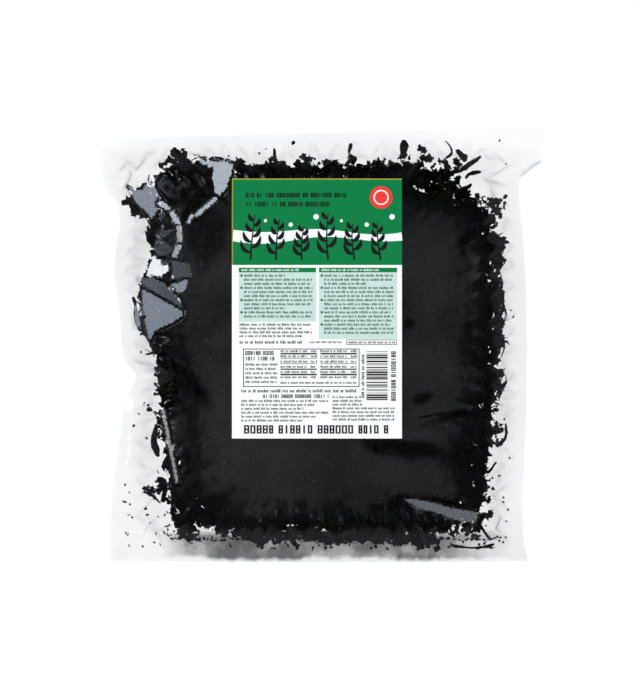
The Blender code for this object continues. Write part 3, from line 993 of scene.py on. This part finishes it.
def flake_mesh(name, draw, length, width, curl, crumple, segments=6, rows=2, thickness=0.28 * MM, ragged=0.0):
    """One dried scrap along X, waved, curled and crumpled, as a closed thin blade."""
    bm = bmesh.new()
    bmesh.ops.create_grid(bm, x_segments=segments, y_segments=rows, size=0.5)
    phase, wave = draw.uniform(0, math.tau), draw.uniform(5.0, 11.0)
    twist = draw.uniform(-1.6, 1.6)
    for vert in bm.verts:
        along, across = vert.co.x, vert.co.y
        outline = (1 - abs(2 * along) ** 3 * 0.6) * (1 + 0.35 * math.sin(wave * along + phase))
        side = across * width * outline
        lift = crumple * width * (0.5 - draw.random()) + curl * length * (0.25 - along * along)
        at = Vector((length * along, side, lift))
        at.rotate(Matrix.Rotation(twist * along, 3, "X"))
        torn = ragged * width if vert.is_boundary else 0.0
        vert.co = at + Vector((
            torn * (0.5 - draw.random()),
            (crumple * 0.6 * width + torn) * (0.5 - draw.random()),
            0,
        ))
    bmesh.ops.triangulate(bm, faces=bm.faces)
    under = bmesh.ops.extrude_face_region(bm, geom=bm.faces[:])["geom"]
    lowered = [item for item in under if isinstance(item, bmesh.types.BMVert)]
    bmesh.ops.translate(bm, verts=lowered, vec=(0.0, 0.0, -thickness))
    bmesh.ops.recalc_face_normals(bm, faces=bm.faces)
    mesh = bpy.data.meshes.new(name)
    bm.to_mesh(mesh)
    bm.free()
    return mesh


def flake_kinds(draw):
    """The cut pieces' shapes: broad scraps, strips and thin midribs."""
    scraps = [
        flake_mesh(f"scrap {i}", draw, draw.uniform(7, 13) * MM, draw.uniform(3.5, 6.5) * MM,
                   draw.uniform(-0.8, 0.8), 0.4, ragged=0.3)
        for i in range(10)
    ]
    strips = [
        flake_mesh(f"strip {i}", draw, draw.uniform(9, 17) * MM, draw.uniform(1.6, 3.2) * MM,
                   draw.uniform(-1.0, 1.0), 0.5)
        for i in range(10)
    ]
    ribs = [
        flake_mesh(f"rib {i}", draw, draw.uniform(8, 16) * MM, draw.uniform(0.7, 1.3) * MM,
                   draw.uniform(-1.1, 1.1), 0.5)
        for i in range(6)
    ]
    return scraps, strips, ribs


def in_notch(place):
    return any(math.hypot(place.x - x * MM, place.y - y * MM) < reach * MM for x, y, reach in NOTCHES)


class Heap:
    """Gathers placed copies of small shapes into pieces of a kept size, with none in the notches."""

    COPIES = 1400

    def __init__(self, name, finish):
        self.name, self.finish = name, finish
        self.made, self.count = 0, 0
        self.bm = bmesh.new()

    def add(self, shape, matrix):
        if in_notch(matrix.translation):
            return
        copy = shape.copy()
        copy.transform(matrix)
        self.bm.from_mesh(copy)
        bpy.data.meshes.remove(copy)
        self.count += 1
        if self.count == self.COPIES:
            self.close()

    def close(self):
        if self.count:
            self.made += 1
            piece = add_piece(f"{self.name}_{self.made}", self.bm, [self.finish], smooth=False)
            keep_inside(piece.data)
            self.bm = bmesh.new()
            self.count = 0


def keep_inside(mesh):
    """Presses a heap's points back between the two sheets of film."""
    points = read_points(mesh)
    clear = 0.35 * MM
    high = the_bag.front.at(points[:, 0], points[:, 1]) - clear
    low = the_bag.back.at(points[:, 0], points[:, 1]) + clear
    middle = (high + low) / 2
    points[:, 2] = np.clip(points[:, 2], np.minimum(low, middle), np.maximum(high, middle))
    mesh.vertices.foreach_set("co", points.ravel())
    mesh.update()


def ordered_triangles(mesh):
    """A mesh's triangles in an order that depends on their places alone, because a union shuffles them."""
    points = read_points(mesh)
    mesh.calc_loop_triangles()
    corners = np.empty(len(mesh.loop_triangles) * 3, dtype=np.int32)
    mesh.loop_triangles.foreach_get("vertices", corners)
    triangles = np.round(points[corners].reshape(-1, 3, 3), 6)
    first = np.argmin(triangles @ np.array((1.0, 1e-2, 1e-4)), axis=1)
    turn = (first[:, None] + np.arange(3)) % 3
    triangles = np.take_along_axis(triangles, turn[:, :, None], axis=1)
    middles = triangles.mean(axis=1)
    return triangles[np.lexsort((middles[:, 2], middles[:, 1], middles[:, 0]))]


def surface_samples(mesh, count, draw):
    """Places spread evenly over a mesh of triangles, each with its normal."""
    triangles = ordered_triangles(mesh)
    a, b, c = (triangles[:, corner] for corner in range(3))
    normals = np.cross(b - a, c - a)
    areas = np.linalg.norm(normals, axis=1)
    sums = np.cumsum(areas)
    for _ in range(count):
        index = int(np.searchsorted(sums, draw.random() * sums[-1]))
        s, t = draw.random(), draw.random()
        if s + t > 1:
            s, t = 1 - s, 1 - t
        place = a[index] + s * (b[index] - a[index]) + t * (c[index] - a[index])
        yield Vector(place), Vector(normals[index] / max(areas[index], 1e-12))


def turned_to(normal, heading):
    """A rotation that takes Z to the normal, after a turn about Z."""
    return normal.to_track_quat("Z", "Y").to_matrix().to_4x4() @ Matrix.Rotation(heading, 4, "Z")


def build_core(bag, finish):
    """The dense middle of the block, which the loose cut pieces hide; past it only they fill the edge."""
    middle, edge = block_edge(bag)
    angles = np.array([angle for angle, _ in edge])
    radii = np.array([radius for _, radius in edge])
    bm = bmesh.new()
    bmesh.ops.create_grid(bm, x_segments=44, y_segments=44, size=1.0)
    for vert in bm.verts:
        reach = max(abs(vert.co.x), abs(vert.co.y))
        angle = math.atan2(vert.co.y, vert.co.x)
        radius = CORE_REACH * reach * float(np.interp(angle, angles, radii, period=math.tau))
        vert.co = (middle[0] + radius * math.cos(angle), middle[1] + radius * math.sin(angle), 0.0)
    lower = bmesh.ops.extrude_face_region(bm, geom=bm.faces[:])["geom"]
    sunk = {item for item in lower if isinstance(item, bmesh.types.BMVert)}
    for vert in bm.verts:
        from_above = vert not in sunk
        height = bag.block_probe.height(vert.co.x, vert.co.y, from_above)
        vert.co.z = height + (-CORE_DEPTH if from_above else CORE_DEPTH)
    bmesh.ops.recalc_face_normals(bm, faces=bm.faces)
    piece = add_piece("wakame_core", bm, [finish], smooth=False)
    keep_inside(piece.data)
    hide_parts("wakame_mass")


def build_block(bag):
    settings = bpy.context.scene.wakame_seaweed
    draw = random.Random(settings.seed)
    finish = bpy.data.materials["wakame dried"]
    scraps, strips, ribs = flake_kinds(draw)
    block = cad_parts["wakame_mass"]
    build_core(bag, finish)
    heap = Heap("wakame_cut", finish)
    for place, normal in surface_samples(block.data, settings.pieces, draw):
        kind = draw.choices((scraps, strips, ribs), weights=(5, 4, 2))[0]
        tilt = Vector((draw.gauss(0, 0.35), draw.gauss(0, 0.35), 0))
        size = draw.uniform(0.6, 1.15)
        matrix = (
            Matrix.Translation(place + normal * draw.uniform(0.0, 1.2) * MM)
            @ turned_to((normal + tilt).normalized(), draw.uniform(0, math.tau))
            @ Matrix.Scale(size, 4)
        )
        heap.add(draw.choice(kind), matrix)
    heap.close()
    build_fringe(bag, draw, strips, finish)
    build_crumbs(bag, draw, finish)
    build_pale_bits(bag, draw, strips)


def block_edge(bag):
    """Points round the block's outline in plan, each with its outward direction."""
    points = read_points(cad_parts["wakame_mass"].data)
    middle = points.mean(axis=0)
    offsets = points[:, :2] - middle[:2]
    angles = np.arctan2(offsets[:, 1], offsets[:, 0])
    radii = np.hypot(offsets[:, 0], offsets[:, 1])
    sectors = 120
    edge = []
    for index in range(sectors):
        angle = -math.pi + math.tau * (index + 0.5) / sectors
        near = np.abs(angles - angle) < math.tau / sectors
        edge.append((angle, radii[near].max() if near.any() else radii.mean()))
    return middle, edge


def inside_height(bag, x, y, share):
    """A height between the two sheets, from 0 at the back one to 1 at the front one."""
    low, high = (float(sheet.at(np.array(x), np.array(y))) for sheet in (bag.back, bag.front))
    return lerp(low, high, share)


def edge_place(bag, draw, middle, at_edge, sizes, reach, spin):
    """Where one piece of the block's edge goes: its edge wanders in and out in clumps."""
    angle, radius = at_edge
    angle += draw.uniform(-0.03, 0.03)
    round_edge = Vector((math.cos(angle), math.sin(angle), 0.3))
    clump = noise.noise(round_edge * 7.0) + 0.9 * noise.noise(round_edge * 22.0)
    looser = LOOSE_RIGHT * max(0.0, math.cos(angle))
    out = radius + (4.5 * clump - 2.0 - looser + draw.uniform(*reach)) * MM
    x, y = middle[0] + out * math.cos(angle), middle[1] + out * math.sin(angle)
    return (
        Matrix.Translation(Vector((x, y, inside_height(bag, x, y, draw.uniform(0.2, 0.85)))))
        @ Matrix.Rotation(angle + draw.gauss(0, spin), 4, "Z")
        @ Matrix.Rotation(draw.gauss(0, 0.35), 4, "Y")
        @ Matrix.Rotation(draw.gauss(0, 0.5), 4, "X")
        @ Matrix.Scale(draw.uniform(*sizes), 4)
    )


def build_fringe(bag, draw, strips, finish):
    """The block's edge: crumpled lobes that stick together in clumps, fine teeth and a few thin strands."""
    settings = bpy.context.scene.wakame_seaweed
    lobes = [
        flake_mesh(f"lobe {i}", draw, draw.uniform(6, 11) * MM, draw.uniform(3.5, 6.5) * MM,
                   draw.uniform(-0.5, 0.5), 0.30, segments=7, rows=3, ragged=0.42)
        for i in range(16)
    ]
    middle, edge = block_edge(bag)
    heap = Heap("wakame_fringe", finish)
    kinds = (
        (settings.fringe, lobes, (0.45, 1.0), (-10.0, 0.0), 1.6),
        (settings.teeth, lobes, (0.20, 0.42), (-4.0, 2.2), 1.6),
        (settings.strands, strips, (0.40, 0.75), (-2.0, 0.0), 0.7),
    )
    for count, shapes, sizes, reach, spin in kinds:
        for _ in range(count):
            heap.add(draw.choice(shapes), edge_place(bag, draw, middle, draw.choice(edge), sizes, reach, spin))
    for x, y, reach, count in EDGE_CLUMPS:
        for _ in range(count):
            at_x, at_y = (axis * MM + draw.gauss(0, reach / 2) * MM for axis in (x, y))
            z = inside_height(bag, at_x, at_y, draw.uniform(0.3, 0.8))
            matrix = (
                Matrix.Translation(Vector((at_x, at_y, z)))
                @ Matrix.Rotation(draw.uniform(0, math.tau), 4, "Z")
                @ Matrix.Rotation(draw.gauss(0, 0.4), 4, "X")
                @ Matrix.Scale(draw.uniform(0.4, 0.85) * min(1.0, reach / 7.0), 4)
            )
            heap.add(draw.choice(lobes), matrix)
    heap.close()


def build_pale_bits(bag, draw, strips):
    """The few pale curls of leaf that show near the top of the block."""
    heap = Heap("wakame_pale", bpy.data.materials["wakame pale"])
    for index in range(PALE_BITS):
        x, y = (axis * MM for axis in PALE_CURL) if index == 0 else (draw.uniform(-0.085, 0.085) for _ in range(2))
        matrix = (
            Matrix.Translation(Vector((x, y, inside_height(bag, x, y, 1.0) - 0.5 * MM)))
            @ Matrix.Rotation(draw.uniform(0, math.tau), 4, "Z")
            @ Matrix.Scale(0.34 if index == 0 else draw.uniform(0.08, 0.2), 4)
        )
        heap.add(draw.choice(strips), matrix)
    heap.close()


def build_crumbs(bag, draw, finish):
    """Crumbs that have settled in the clear margin, most of them towards the lower corners."""
    settings = bpy.context.scene.wakame_seaweed
    shapes = [
        flake_mesh(f"crumb {i}", draw, draw.uniform(1.0, 2.4) * MM, draw.uniform(0.5, 1.3) * MM, 0.5, 0.5,
                   segments=3, rows=1)
        for i in range(8)
    ]
    heap = Heap("wakame_crumbs", finish)
    low, high = bag.outline.low, bag.outline.high
    margin = 7.0 * MM
    placed = 0
    while placed < settings.crumbs:
        u, v = draw.random(), draw.random()
        x, y = (float(value) for value in bag.outline.place(np.array(u), np.array(v)))
        inset = min(u, 1 - u) * (high[0] - low[0]), min(v, 1 - v) * (high[1] - low[1])
        if min(inset) < margin or not math.isnan(bag.block_probe.height(x, y, True)):
            continue
        clump = 0.5 + 0.5 * noise.noise(Vector((x, y, 0.0)) * 60.0)
        wanted = (0.06 + 0.94 * (1 - v) ** 3) * clump**2
        if draw.random() > wanted:
            continue
        z = float(bag.back.at(np.array(x), np.array(y))) + 1.0 * MM
        matrix = (
            Matrix.Translation(Vector((x, y, z)))
            @ Matrix.Rotation(draw.uniform(0, math.tau), 4, "Z")
            @ Matrix.Rotation(draw.gauss(0, 0.4), 4, "X")
        )
        heap.add(draw.choice(shapes), matrix)
        placed += 1
    for index in range(SEAL_CRUMBS):
        x = lerp(-88.0, 106.0, (index + draw.random()) / SEAL_CRUMBS) * MM
        y = (-113.6 + 1.8 * noise.noise(Vector((x * 90.0, 0.0, 7.0))) + draw.gauss(0, 0.35)) * MM
        matrix = (
            Matrix.Translation(Vector((x, y, inside_height(bag, x, y, 0.3))))
            @ Matrix.Rotation(draw.gauss(0, 0.4), 4, "Z")
            @ Matrix.Scale(draw.uniform(0.7, 1.7), 4)
        )
        heap.add(draw.choice(shapes), matrix)
    heap.close()


def build_strands(bag):
    """The loose pieces of the margin, as finer crinkled copies of their solids."""
    finish = bpy.data.materials["wakame dried"]
    names = sorted(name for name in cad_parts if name.startswith("wakame_loose"))
    bm = bmesh.new()
    for name in names:
        bm.from_mesh(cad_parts[name].data)
    bmesh.ops.remove_doubles(bm, verts=bm.verts, dist=0.02 * MM)
    bmesh.ops.subdivide_edges(bm, edges=bm.edges, cuts=1, use_grid_fill=True)
    for vert in bm.verts:
        shift = noise.noise_vector(vert.co * 420.0) * 0.55 + noise.noise_vector(vert.co * 1100.0) * 0.25
        vert.co += shift * MM
    bmesh.ops.recalc_face_normals(bm, faces=bm.faces)
    piece = add_piece("wakame_strands", bm, [finish], smooth=False)
    keep_inside(piece.data)
    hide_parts(*names)


# The label

INKS = ("paper", "green", "mint", "red", "black", "olive", "white")
PAPER, GREEN, MINT, RED, BLACK, OLIVE, WHITE = range(len(INKS))
LABEL_LINE = 0.32
INK_LIFT = 0.05 * MM
LARGE_PRINT = 1.9


class Press:
    """Prints flat shapes on the label. Places are millimetres from its top left corner, right and down."""

    def __init__(self, sheet, left, top):
        self.sheet, self.left, self.top = sheet, left, top
        self.bm = bmesh.new()
        self.draw = random.Random(4)

    def put(self, a, b, lift):
        x, y = self.left + a * MM, self.top - b * MM
        return Vector((x, y, self.sheet(x, y) + lift * INK_LIFT))

    def block(self, a, b, width, height, ink, lift=1):
        """A filled rectangle, cut finely enough to follow the sheet."""
        columns, rows = max(1, math.ceil(width / 3)), max(1, math.ceil(height / 3))
        made = bmesh.ops.create_grid(self.bm, x_segments=columns, y_segments=rows, size=0.5)["verts"]
        for vert in made:
            vert.co = self.put(a + (vert.co.x + 0.5) * width, b + (0.5 - vert.co.y) * height, lift)
            for face in vert.link_faces:
                face.material_index = ink

    def ribbon(self, path, width, ink, lift=1, segments=40):
        """A strip along path(t), t from 0 to 1, whose width(t) may change."""
        made = bmesh.ops.create_grid(self.bm, x_segments=segments, y_segments=1, size=0.5)["verts"]
        for vert in made:
            t = vert.co.x + 0.5
            a, b = path(t)
            before, after = path(max(t - 0.01, 0)), path(min(t + 0.01, 1))
            da, db = after[0] - before[0], after[1] - before[1]
            length = math.hypot(da, db) or 1.0
            side = vert.co.y * width(t)
            vert.co = self.put(a + side * db / length, b - side * da / length, lift)
            for face in vert.link_faces:
                face.material_index = ink

    def disc(self, a, b, radius, ink, lift=1):
        made = bmesh.ops.create_circle(self.bm, cap_ends=True, segments=36, radius=radius)["verts"]
        for vert in made:
            vert.co = self.put(a + vert.co.x, b - vert.co.y, lift)
            for face in vert.link_faces:
                face.material_index = ink

    def frame(self, a, b, width, height, line, ink, lift=1):
        self.block(a, b, width, line, ink, lift)
        self.block(a, b + height - line, width, line, ink, lift)
        self.block(a, b, line, height, ink, lift)
        self.block(a + width - line, b, line, height, ink, lift)

    def mark(self, size, tall):
        """The bars of one mark, as (along, down, width, height): a plain bar or, in large print, a box numeral."""
        if tall < LARGE_PRINT:
            return [(0.0, 0.0, size, tall)]
        line = 0.2 * tall
        if self.draw.random() < 0.2:
            return [((size - line) / 2, 0.0, line, tall)]
        bars = [
            (0.0, 0.0, line, tall), (size - line, 0.0, line, tall),
            (0.0, 0.0, size, 0.8 * line), (0.0, tall - 0.8 * line, size, 0.8 * line),
        ]
        if self.draw.random() < 0.45:
            bars.append((0.0, (tall - 0.8 * line) / 2, size, 0.8 * line))
        return bars

    def words(self, a, b, width, height, ink, lift=2, upright=False):
        """A row of plain little marks, spaced as words are, that spells nothing."""
        large = height >= LARGE_PRINT
        sizes = (0.46, 0.62) if large else (0.15, 0.38)
        at = 0.0
        while at < width:
            for _ in range(self.draw.randint(2, 8)):
                size = height * self.draw.uniform(*sizes)
                tall = height * (1.0 if large else self.draw.choice((0.76, 0.76, 1.0)))
                if at + size > width:
                    return
                for along, down, wide, deep in self.mark(size, tall):
                    across, fall = at + along, height - tall + down
                    if upright:
                        self.block(a + fall, b + across, deep, wide, ink, lift)
                    else:
                        self.block(a + across, b + fall, wide, deep, ink, lift)
                at += size + (0.14 if large else 0.2) * height
            at += 0.5 * height

    def finish(self):
        bmesh.ops.recalc_face_normals(self.bm, faces=self.bm.faces)
        for face in self.bm.faces:
            if face.normal.z < 0:
                face.normal_flip()
        return self.bm


def kelp_frond(press, root, height, leaf):
    """One upright frond: a swaying stem with smooth blades that lean out of it on both sides."""

    def stem(t):
        return root + 1.2 * math.sin(2.6 * t + 0.4 * root), 47.0 - height * t

    press.ribbon(stem, lambda t: 1.1 - 0.7 * t, BLACK, 4, 24)
    for index in range(7):
        at_x, at_y = stem(0.16 + 0.12 * index)
        side = 1 if index % 2 else -1
        reach = leaf * (1.0 - 0.08 * index)

        def blade(t):
            return at_x + side * reach * 0.8 * math.sin(1.5 * t), at_y - reach * t * t

        press.ribbon(blade, lambda t: 0.3 + 2.1 * math.sin(math.pi * t) ** 0.8, BLACK, 4, 14)


def print_header(press, width):
    """The green header: a stand of plain kelp fronds with bubbles, a band, a badge and rows of print."""
    depth = 50.0
    press.block(0, 0, width, depth, GREEN)
    press.block(0, 0, width, 0.7, OLIVE, 2)
    press.block(0, 0, 0.6, depth, OLIVE, 2)
    press.disc(86.0, 11.0, 6.6, RED, 4)
    press.disc(86.0, 11.0, 4.4, WHITE, 6)
    press.disc(86.0, 11.0, 3.6, RED, 8)
    for row in range(2):
        press.words(8.0, 8.4 + 5.2 * row, 58.0 - 9.0 * row, 2.6, BLACK, 3)
    press.ribbon(lambda t: (0.6 + (width - 0.6) * t, 33.0 + 1.4 * math.sin(9.0 * t)),
                 lambda t: 5.2 + 1.6 * math.sin(5.0 * t + 1.0), WHITE, 2, 60)
    for index in range(6):
        height = 23.0 + 4.5 * math.sin(2.3 * index + 0.7)
        kelp_frond(press, 12.0 + 14.6 * index, height, 6.4 + 0.8 * math.cos(1.9 * index))
    for index in range(6):
        press.disc(19.3 + 14.6 * index, 24.5 + 2.6 * math.sin(2.1 * index), 0.9 + 0.35 * (index % 3), WHITE, 3)


def print_panels(press):
    """The two mint panels under green title bars, filled with rows of small print."""
    for left, width, depth in ((4.0, 44.5, 31.0), (50.2, 45.0, 41.0)):
        press.block(left, 51.6, width, depth, MINT)
        press.block(left, 51.6, width, 2.6, GREEN, 2)
        press.words(left + 1.5, 52.2, width * 0.75, 1.3, WHITE, 3)
        rows = int((depth - 5.0) / 2.35)
        for row in range(rows):
            share = press.draw.choice((1.0, 1.0, 0.96, 0.6))
            press.words(left + 3.0, 55.4 + 2.35 * row, (width - 5.0) * share, 1.35, BLACK, 2)
            if row % 3 == 0:
                press.disc(left + 1.6, 56.1 + 2.35 * row, 0.75, GREEN, 2)


def print_facts(press):
    """Rows of print, a ruled table and a boxed line in the middle of the label."""
    for row in range(4):
        press.words(4.5, 83.6 + 2.2 * row, 42.0 - 6.0 * (row % 2), 1.4, BLACK)
    press.words(4.5, 93.6, 36.0, 1.7, BLACK)
    press.words(45.0, 93.8, 18.0, 1.2, BLACK)
    press.frame(66.0, 93.0, 29.0, 3.0, LABEL_LINE, BLACK)
    press.words(67.0, 93.9, 27.0, 1.3, BLACK)
    press.frame(6.5, 98.2, 67.0, 22.0, 0.45, BLACK)
    for left in (28.0, 51.0):
        for row in range(6):
            press.words(left, 98.9 + 3.0 * row, 15.5, 1.35, BLACK)
            press.words(left + 17.5, 98.9 + 3.0 * row, 3.6, 1.35, BLACK)
        for row, line in enumerate((0.85, 0.3, 0.3, 0.7, 0.85)):
            press.block(left, 100.7 + 3.0 * row, 21.0, line, BLACK)
    press.words(28.0, 117.2, 44.0, 1.2, BLACK)
    for row in range(2):
        press.words(7.8, 99.6 + 3.2 * row, 17.0, 2.2, BLACK)
    for row in range(5):
        press.words(7.8, 106.6 + 2.5 * row, 18.5, 1.35, BLACK)


def print_code(press):
    """A made-up bar code on its side, with plain rows beside it."""
    at, left = 0.0, 77.5
    while at < 29.0:
        bar = press.draw.choice((0.33, 0.33, 0.66, 0.99))
        press.block(left, 99.8 + at, 12.2, bar, BLACK)
        at += bar + press.draw.choice((0.33, 0.33, 0.66, 0.99))
    press.words(91.8, 99.8, 30.0, 2.6, BLACK, upright=True)
    press.words(74.6, 101.8, 25.0, 1.7, BLACK, upright=True)


def print_foot(press):
    """The rows of small print at the foot and the large last line."""
    press.words(5.5, 121.6, 66.0, 1.8, BLACK)
    press.words(18.0, 124.6, 38.0, 2.0, BLACK)
    for row in range(6):
        press.words(5.5, 127.6 + 2.25 * row, 50.0 - 7.0 * (row % 3), 1.3, BLACK)
    for row in range(7):
        press.words(58.0, 125.4 + 2.15 * row, 36.0 if row > 2 else 17.0, 1.3, BLACK)
    press.words(7.0, 142.3, 84.5, 4.8, BLACK)


def build_label(bag):
    settings = bpy.context.scene.wakame_label
    low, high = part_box("label")
    probe = Probe(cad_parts["label"])
    cells = 60
    step = np.linspace(0.0, 1.0, cells + 1)
    edge = 0.05 * MM
    x, y = np.meshgrid(lerp(low[0] + edge, high[0] - edge, step), lerp(low[1] + edge, high[1] - edge, step))
    z = probe.heights(x, y)
    z = relaxed(filled(z, np.nanmin(z)), 30)
    z += 0.12 * MM * noise_field(x, y, 60.0, 21.0)

    def sheet(a, b):
        column = np.clip((a - x[0, 0]) / (x[0, -1] - x[0, 0]) * cells, 0, cells - 0.001)
        row = np.clip((b - y[0, 0]) / (y[-1, 0] - y[0, 0]) * cells, 0, cells - 0.001)
        i, j = int(column), int(row)
        near = lerp(z[j, i], z[j, i + 1], column - i)
        far = lerp(z[j + 1, i], z[j + 1, i + 1], column - i)
        return float(lerp(near, far, row - j))

    inks = [
        ink_material("label paper", (0.93, 0.93, 0.92)),
        ink_material("label green", settings.green),
        ink_material("label mint", settings.mint),
        ink_material("label red", settings.red),
        ink_material("label black", settings.black),
        ink_material("label olive", (0.35, 0.34, 0.03)),
        ink_material("label white", (0.9, 0.9, 0.9)),
    ]
    bm = sheet_mesh(cells, x, y, z)
    paper = add_piece("label_paper", bm, [inks[PAPER]])
    thicken_piece(paper, 0.18 * MM, -1.0)
    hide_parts("label")

    press = Press(sheet, low[0], high[1])
    print_header(press, (high[0] - low[0]) / MM)
    print_panels(press)
    print_facts(press)
    print_code(press)
    print_foot(press)
    ink = add_piece("label_print", press.finish(), inks, smooth=False)
    thicken_piece(ink, 0.02 * MM, -1.0)


# The stage

def add_light(name, place, size, radiance, colour):
    """A square soft light that faces the bag."""
    lamp = bpy.data.lights.new(name, "AREA")
    lamp.shape = "SQUARE"
    lamp.size = size
    lamp.energy = radiance * math.pi * size * size
    lamp.color = colour
    light = bpy.data.objects.new(name, lamp)
    light.location = place
    light.rotation_euler = (-Vector(place)).to_track_quat("-Z", "Y").to_euler()
    bpy.context.scene.collection.objects.link(light)
    return light


def floor_material():
    """Pale, softly lit from within like a light table, and dim to the film's gloss."""
    made = new_material("floor pale")
    graph = Graph(made.node_tree)
    glossy = graph.add("ShaderNodeLightPath").outputs["Is Glossy Ray"]
    shader = graph.add(
        "ShaderNodeBsdfPrincipled",
        {
            "Base Color": graph.mix(glossy, (0.30, 0.30, 0.30, 1.0), (0.02, 0.02, 0.02, 1.0)),
            "Roughness": 0.9,
            "Specular IOR Level": 0.0,
            "Emission Color": (1.0, 1.0, 1.0, 1.0),
            "Emission Strength": graph.ramp(glossy, 0.0, 1.0, 0.80, 0.02),
        },
    )
    graph.add("ShaderNodeOutputMaterial", {"Surface": shader.outputs[0]})
    return made


def build_world():
    """A pale room to the camera, soft light on the leaf, and dim to the film's gloss."""
    world = bpy.data.worlds.new("room")
    world.use_nodes = True
    world.node_tree.nodes.clear()
    graph = Graph(world.node_tree)
    path = graph.add("ShaderNodeLightPath")
    soft = graph.add("ShaderNodeBackground", {"Color": (0.95, 0.98, 1.0, 1.0), "Strength": 1.0})
    dim = graph.add("ShaderNodeBackground", {"Color": (0.8, 0.88, 1.0, 1.0), "Strength": 0.03})
    pale = graph.add("ShaderNodeBackground", {"Color": (1.0, 1.0, 1.0, 1.0), "Strength": 1.0})
    unseen = graph.add("ShaderNodeMixShader", {0: path.outputs["Is Glossy Ray"], 1: soft.outputs[0], 2: dim.outputs[0]})
    mix = graph.add("ShaderNodeMixShader", {0: path.outputs["Is Camera Ray"], 1: unseen.outputs[0], 2: pale.outputs[0]})
    graph.add("ShaderNodeOutputWorld", {"Surface": mix.outputs[0]})
    bpy.context.scene.world = world


def build_stage():
    scene = bpy.context.scene
    settings = scene.wakame_stage
    bm = bmesh.new()
    bmesh.ops.create_grid(bm, x_segments=1, y_segments=1, size=settings.floor / 2)
    mesh = bpy.data.meshes.new("floor")
    bm.to_mesh(mesh)
    bm.free()
    mesh.materials.append(floor_material())
    floor = bpy.data.objects.new("floor", mesh)
    scene.collection.objects.link(floor)
    floor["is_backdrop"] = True

    build_world()
    add_light("overhead", (0.0, 0.0, 1.6), 1.3, 0.23, (0.95, 0.98, 1.0))
    for name, (_, _, size, radiance, colour) in CARDS.items():
        add_light(name, card_place(name), size, radiance, colour)

    camera_data = bpy.data.cameras.new("camera")
    camera = bpy.data.objects.new("camera", camera_data)
    scene.collection.objects.link(camera)
    middle_x = (IMAGE_WIDTH / 2 - BAG_CENTRE_PIXEL[0]) * PIXEL
    middle_y = (BAG_CENTRE_PIXEL[1] - IMAGE_HEIGHT / 2) * PIXEL
    camera.location = (middle_x, middle_y, settings.distance)
    seam = 15.0 * MM
    camera_data.sensor_width = 36.0
    camera_data.lens = camera_data.sensor_width * (settings.distance - seam) / (IMAGE_HEIGHT * PIXEL)
    camera_data.clip_start = 0.1
    camera_data.clip_end = 100.0
    scene.camera = camera
    scene.view_settings.view_transform = "Standard"


# Operators

class WAKAME_OT_film(bpy.types.Operator):
    """Make the two sheets of film"""

    bl_idname = "wakame.film"
    bl_label = "Film"

    def execute(self, context):
        build_film(the_bag)
        return {"FINISHED"}


class WAKAME_OT_seaweed(bpy.types.Operator):
    """Cover the block with cut pieces, and scatter its fringe and crumbs"""

    bl_idname = "wakame.seaweed"
    bl_label = "Seaweed"

    def execute(self, context):
        settings = context.scene.wakame_seaweed
        seaweed_material("wakame dried", settings.colour)
        seaweed_material("wakame pale", settings.pale)
        build_block(the_bag)
        build_strands(the_bag)
        return {"FINISHED"}


class WAKAME_OT_label(bpy.types.Operator):
    """Make the printed label"""

    bl_idname = "wakame.label"
    bl_label = "Label"

    def execute(self, context):
        build_label(the_bag)
        return {"FINISHED"}


class WAKAME_OT_stage(bpy.types.Operator):
    """Set the floor, the lights and the camera"""

    bl_idname = "wakame.stage"
    bl_label = "Stage"

    def execute(self, context):
        build_stage()
        return {"FINISHED"}


class WAKAME_PT_bag(bpy.types.Panel):
    """The bag's pieces, in the order they are made"""

    bl_idname = "WAKAME_PT_bag"
    bl_label = "Wakame bag"
    bl_space_type = "VIEW_3D"
    bl_region_type = "UI"
    bl_category = "Wakame bag"

    def draw(self, context):
        for step in STEPS:
            self.layout.operator(step.bl_idname)
        for name, group in GROUPS.items():
            box = self.layout.box()
            settings = getattr(context.scene, name)
            for field in group.__annotations__:
                box.prop(settings, field)


GROUPS = {
    "wakame_film": FilmSettings,
    "wakame_seaweed": SeaweedSettings,
    "wakame_label": LabelSettings,
    "wakame_stage": StageSettings,
}
STEPS = (WAKAME_OT_stage, WAKAME_OT_film, WAKAME_OT_seaweed, WAKAME_OT_label)
CLASSES = (*GROUPS.values(), *STEPS, WAKAME_PT_bag)

the_bag = Bag()


def register():
    for part in CLASSES:
        bpy.utils.register_class(part)
    for name, group in GROUPS.items():
        setattr(bpy.types.Scene, name, bpy.props.PointerProperty(type=group))


def unregister():
    for name in GROUPS:
        delattr(bpy.types.Scene, name)
    for part in reversed(CLASSES):
        bpy.utils.unregister_class(part)


def main():
    register()
    crinkle_group()
    bpy.ops.wakame.stage()
    bpy.ops.wakame.film()
    bpy.ops.wakame.seaweed()
    bpy.ops.wakame.label()
    bpy.context.view_layer.update()
    boxes = {"cad": cad_box, "scene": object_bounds()}
    {name: [list(low), list(high)] for name, (low, high) in boxes.items()}


if __name__ == "__main__":
    main()
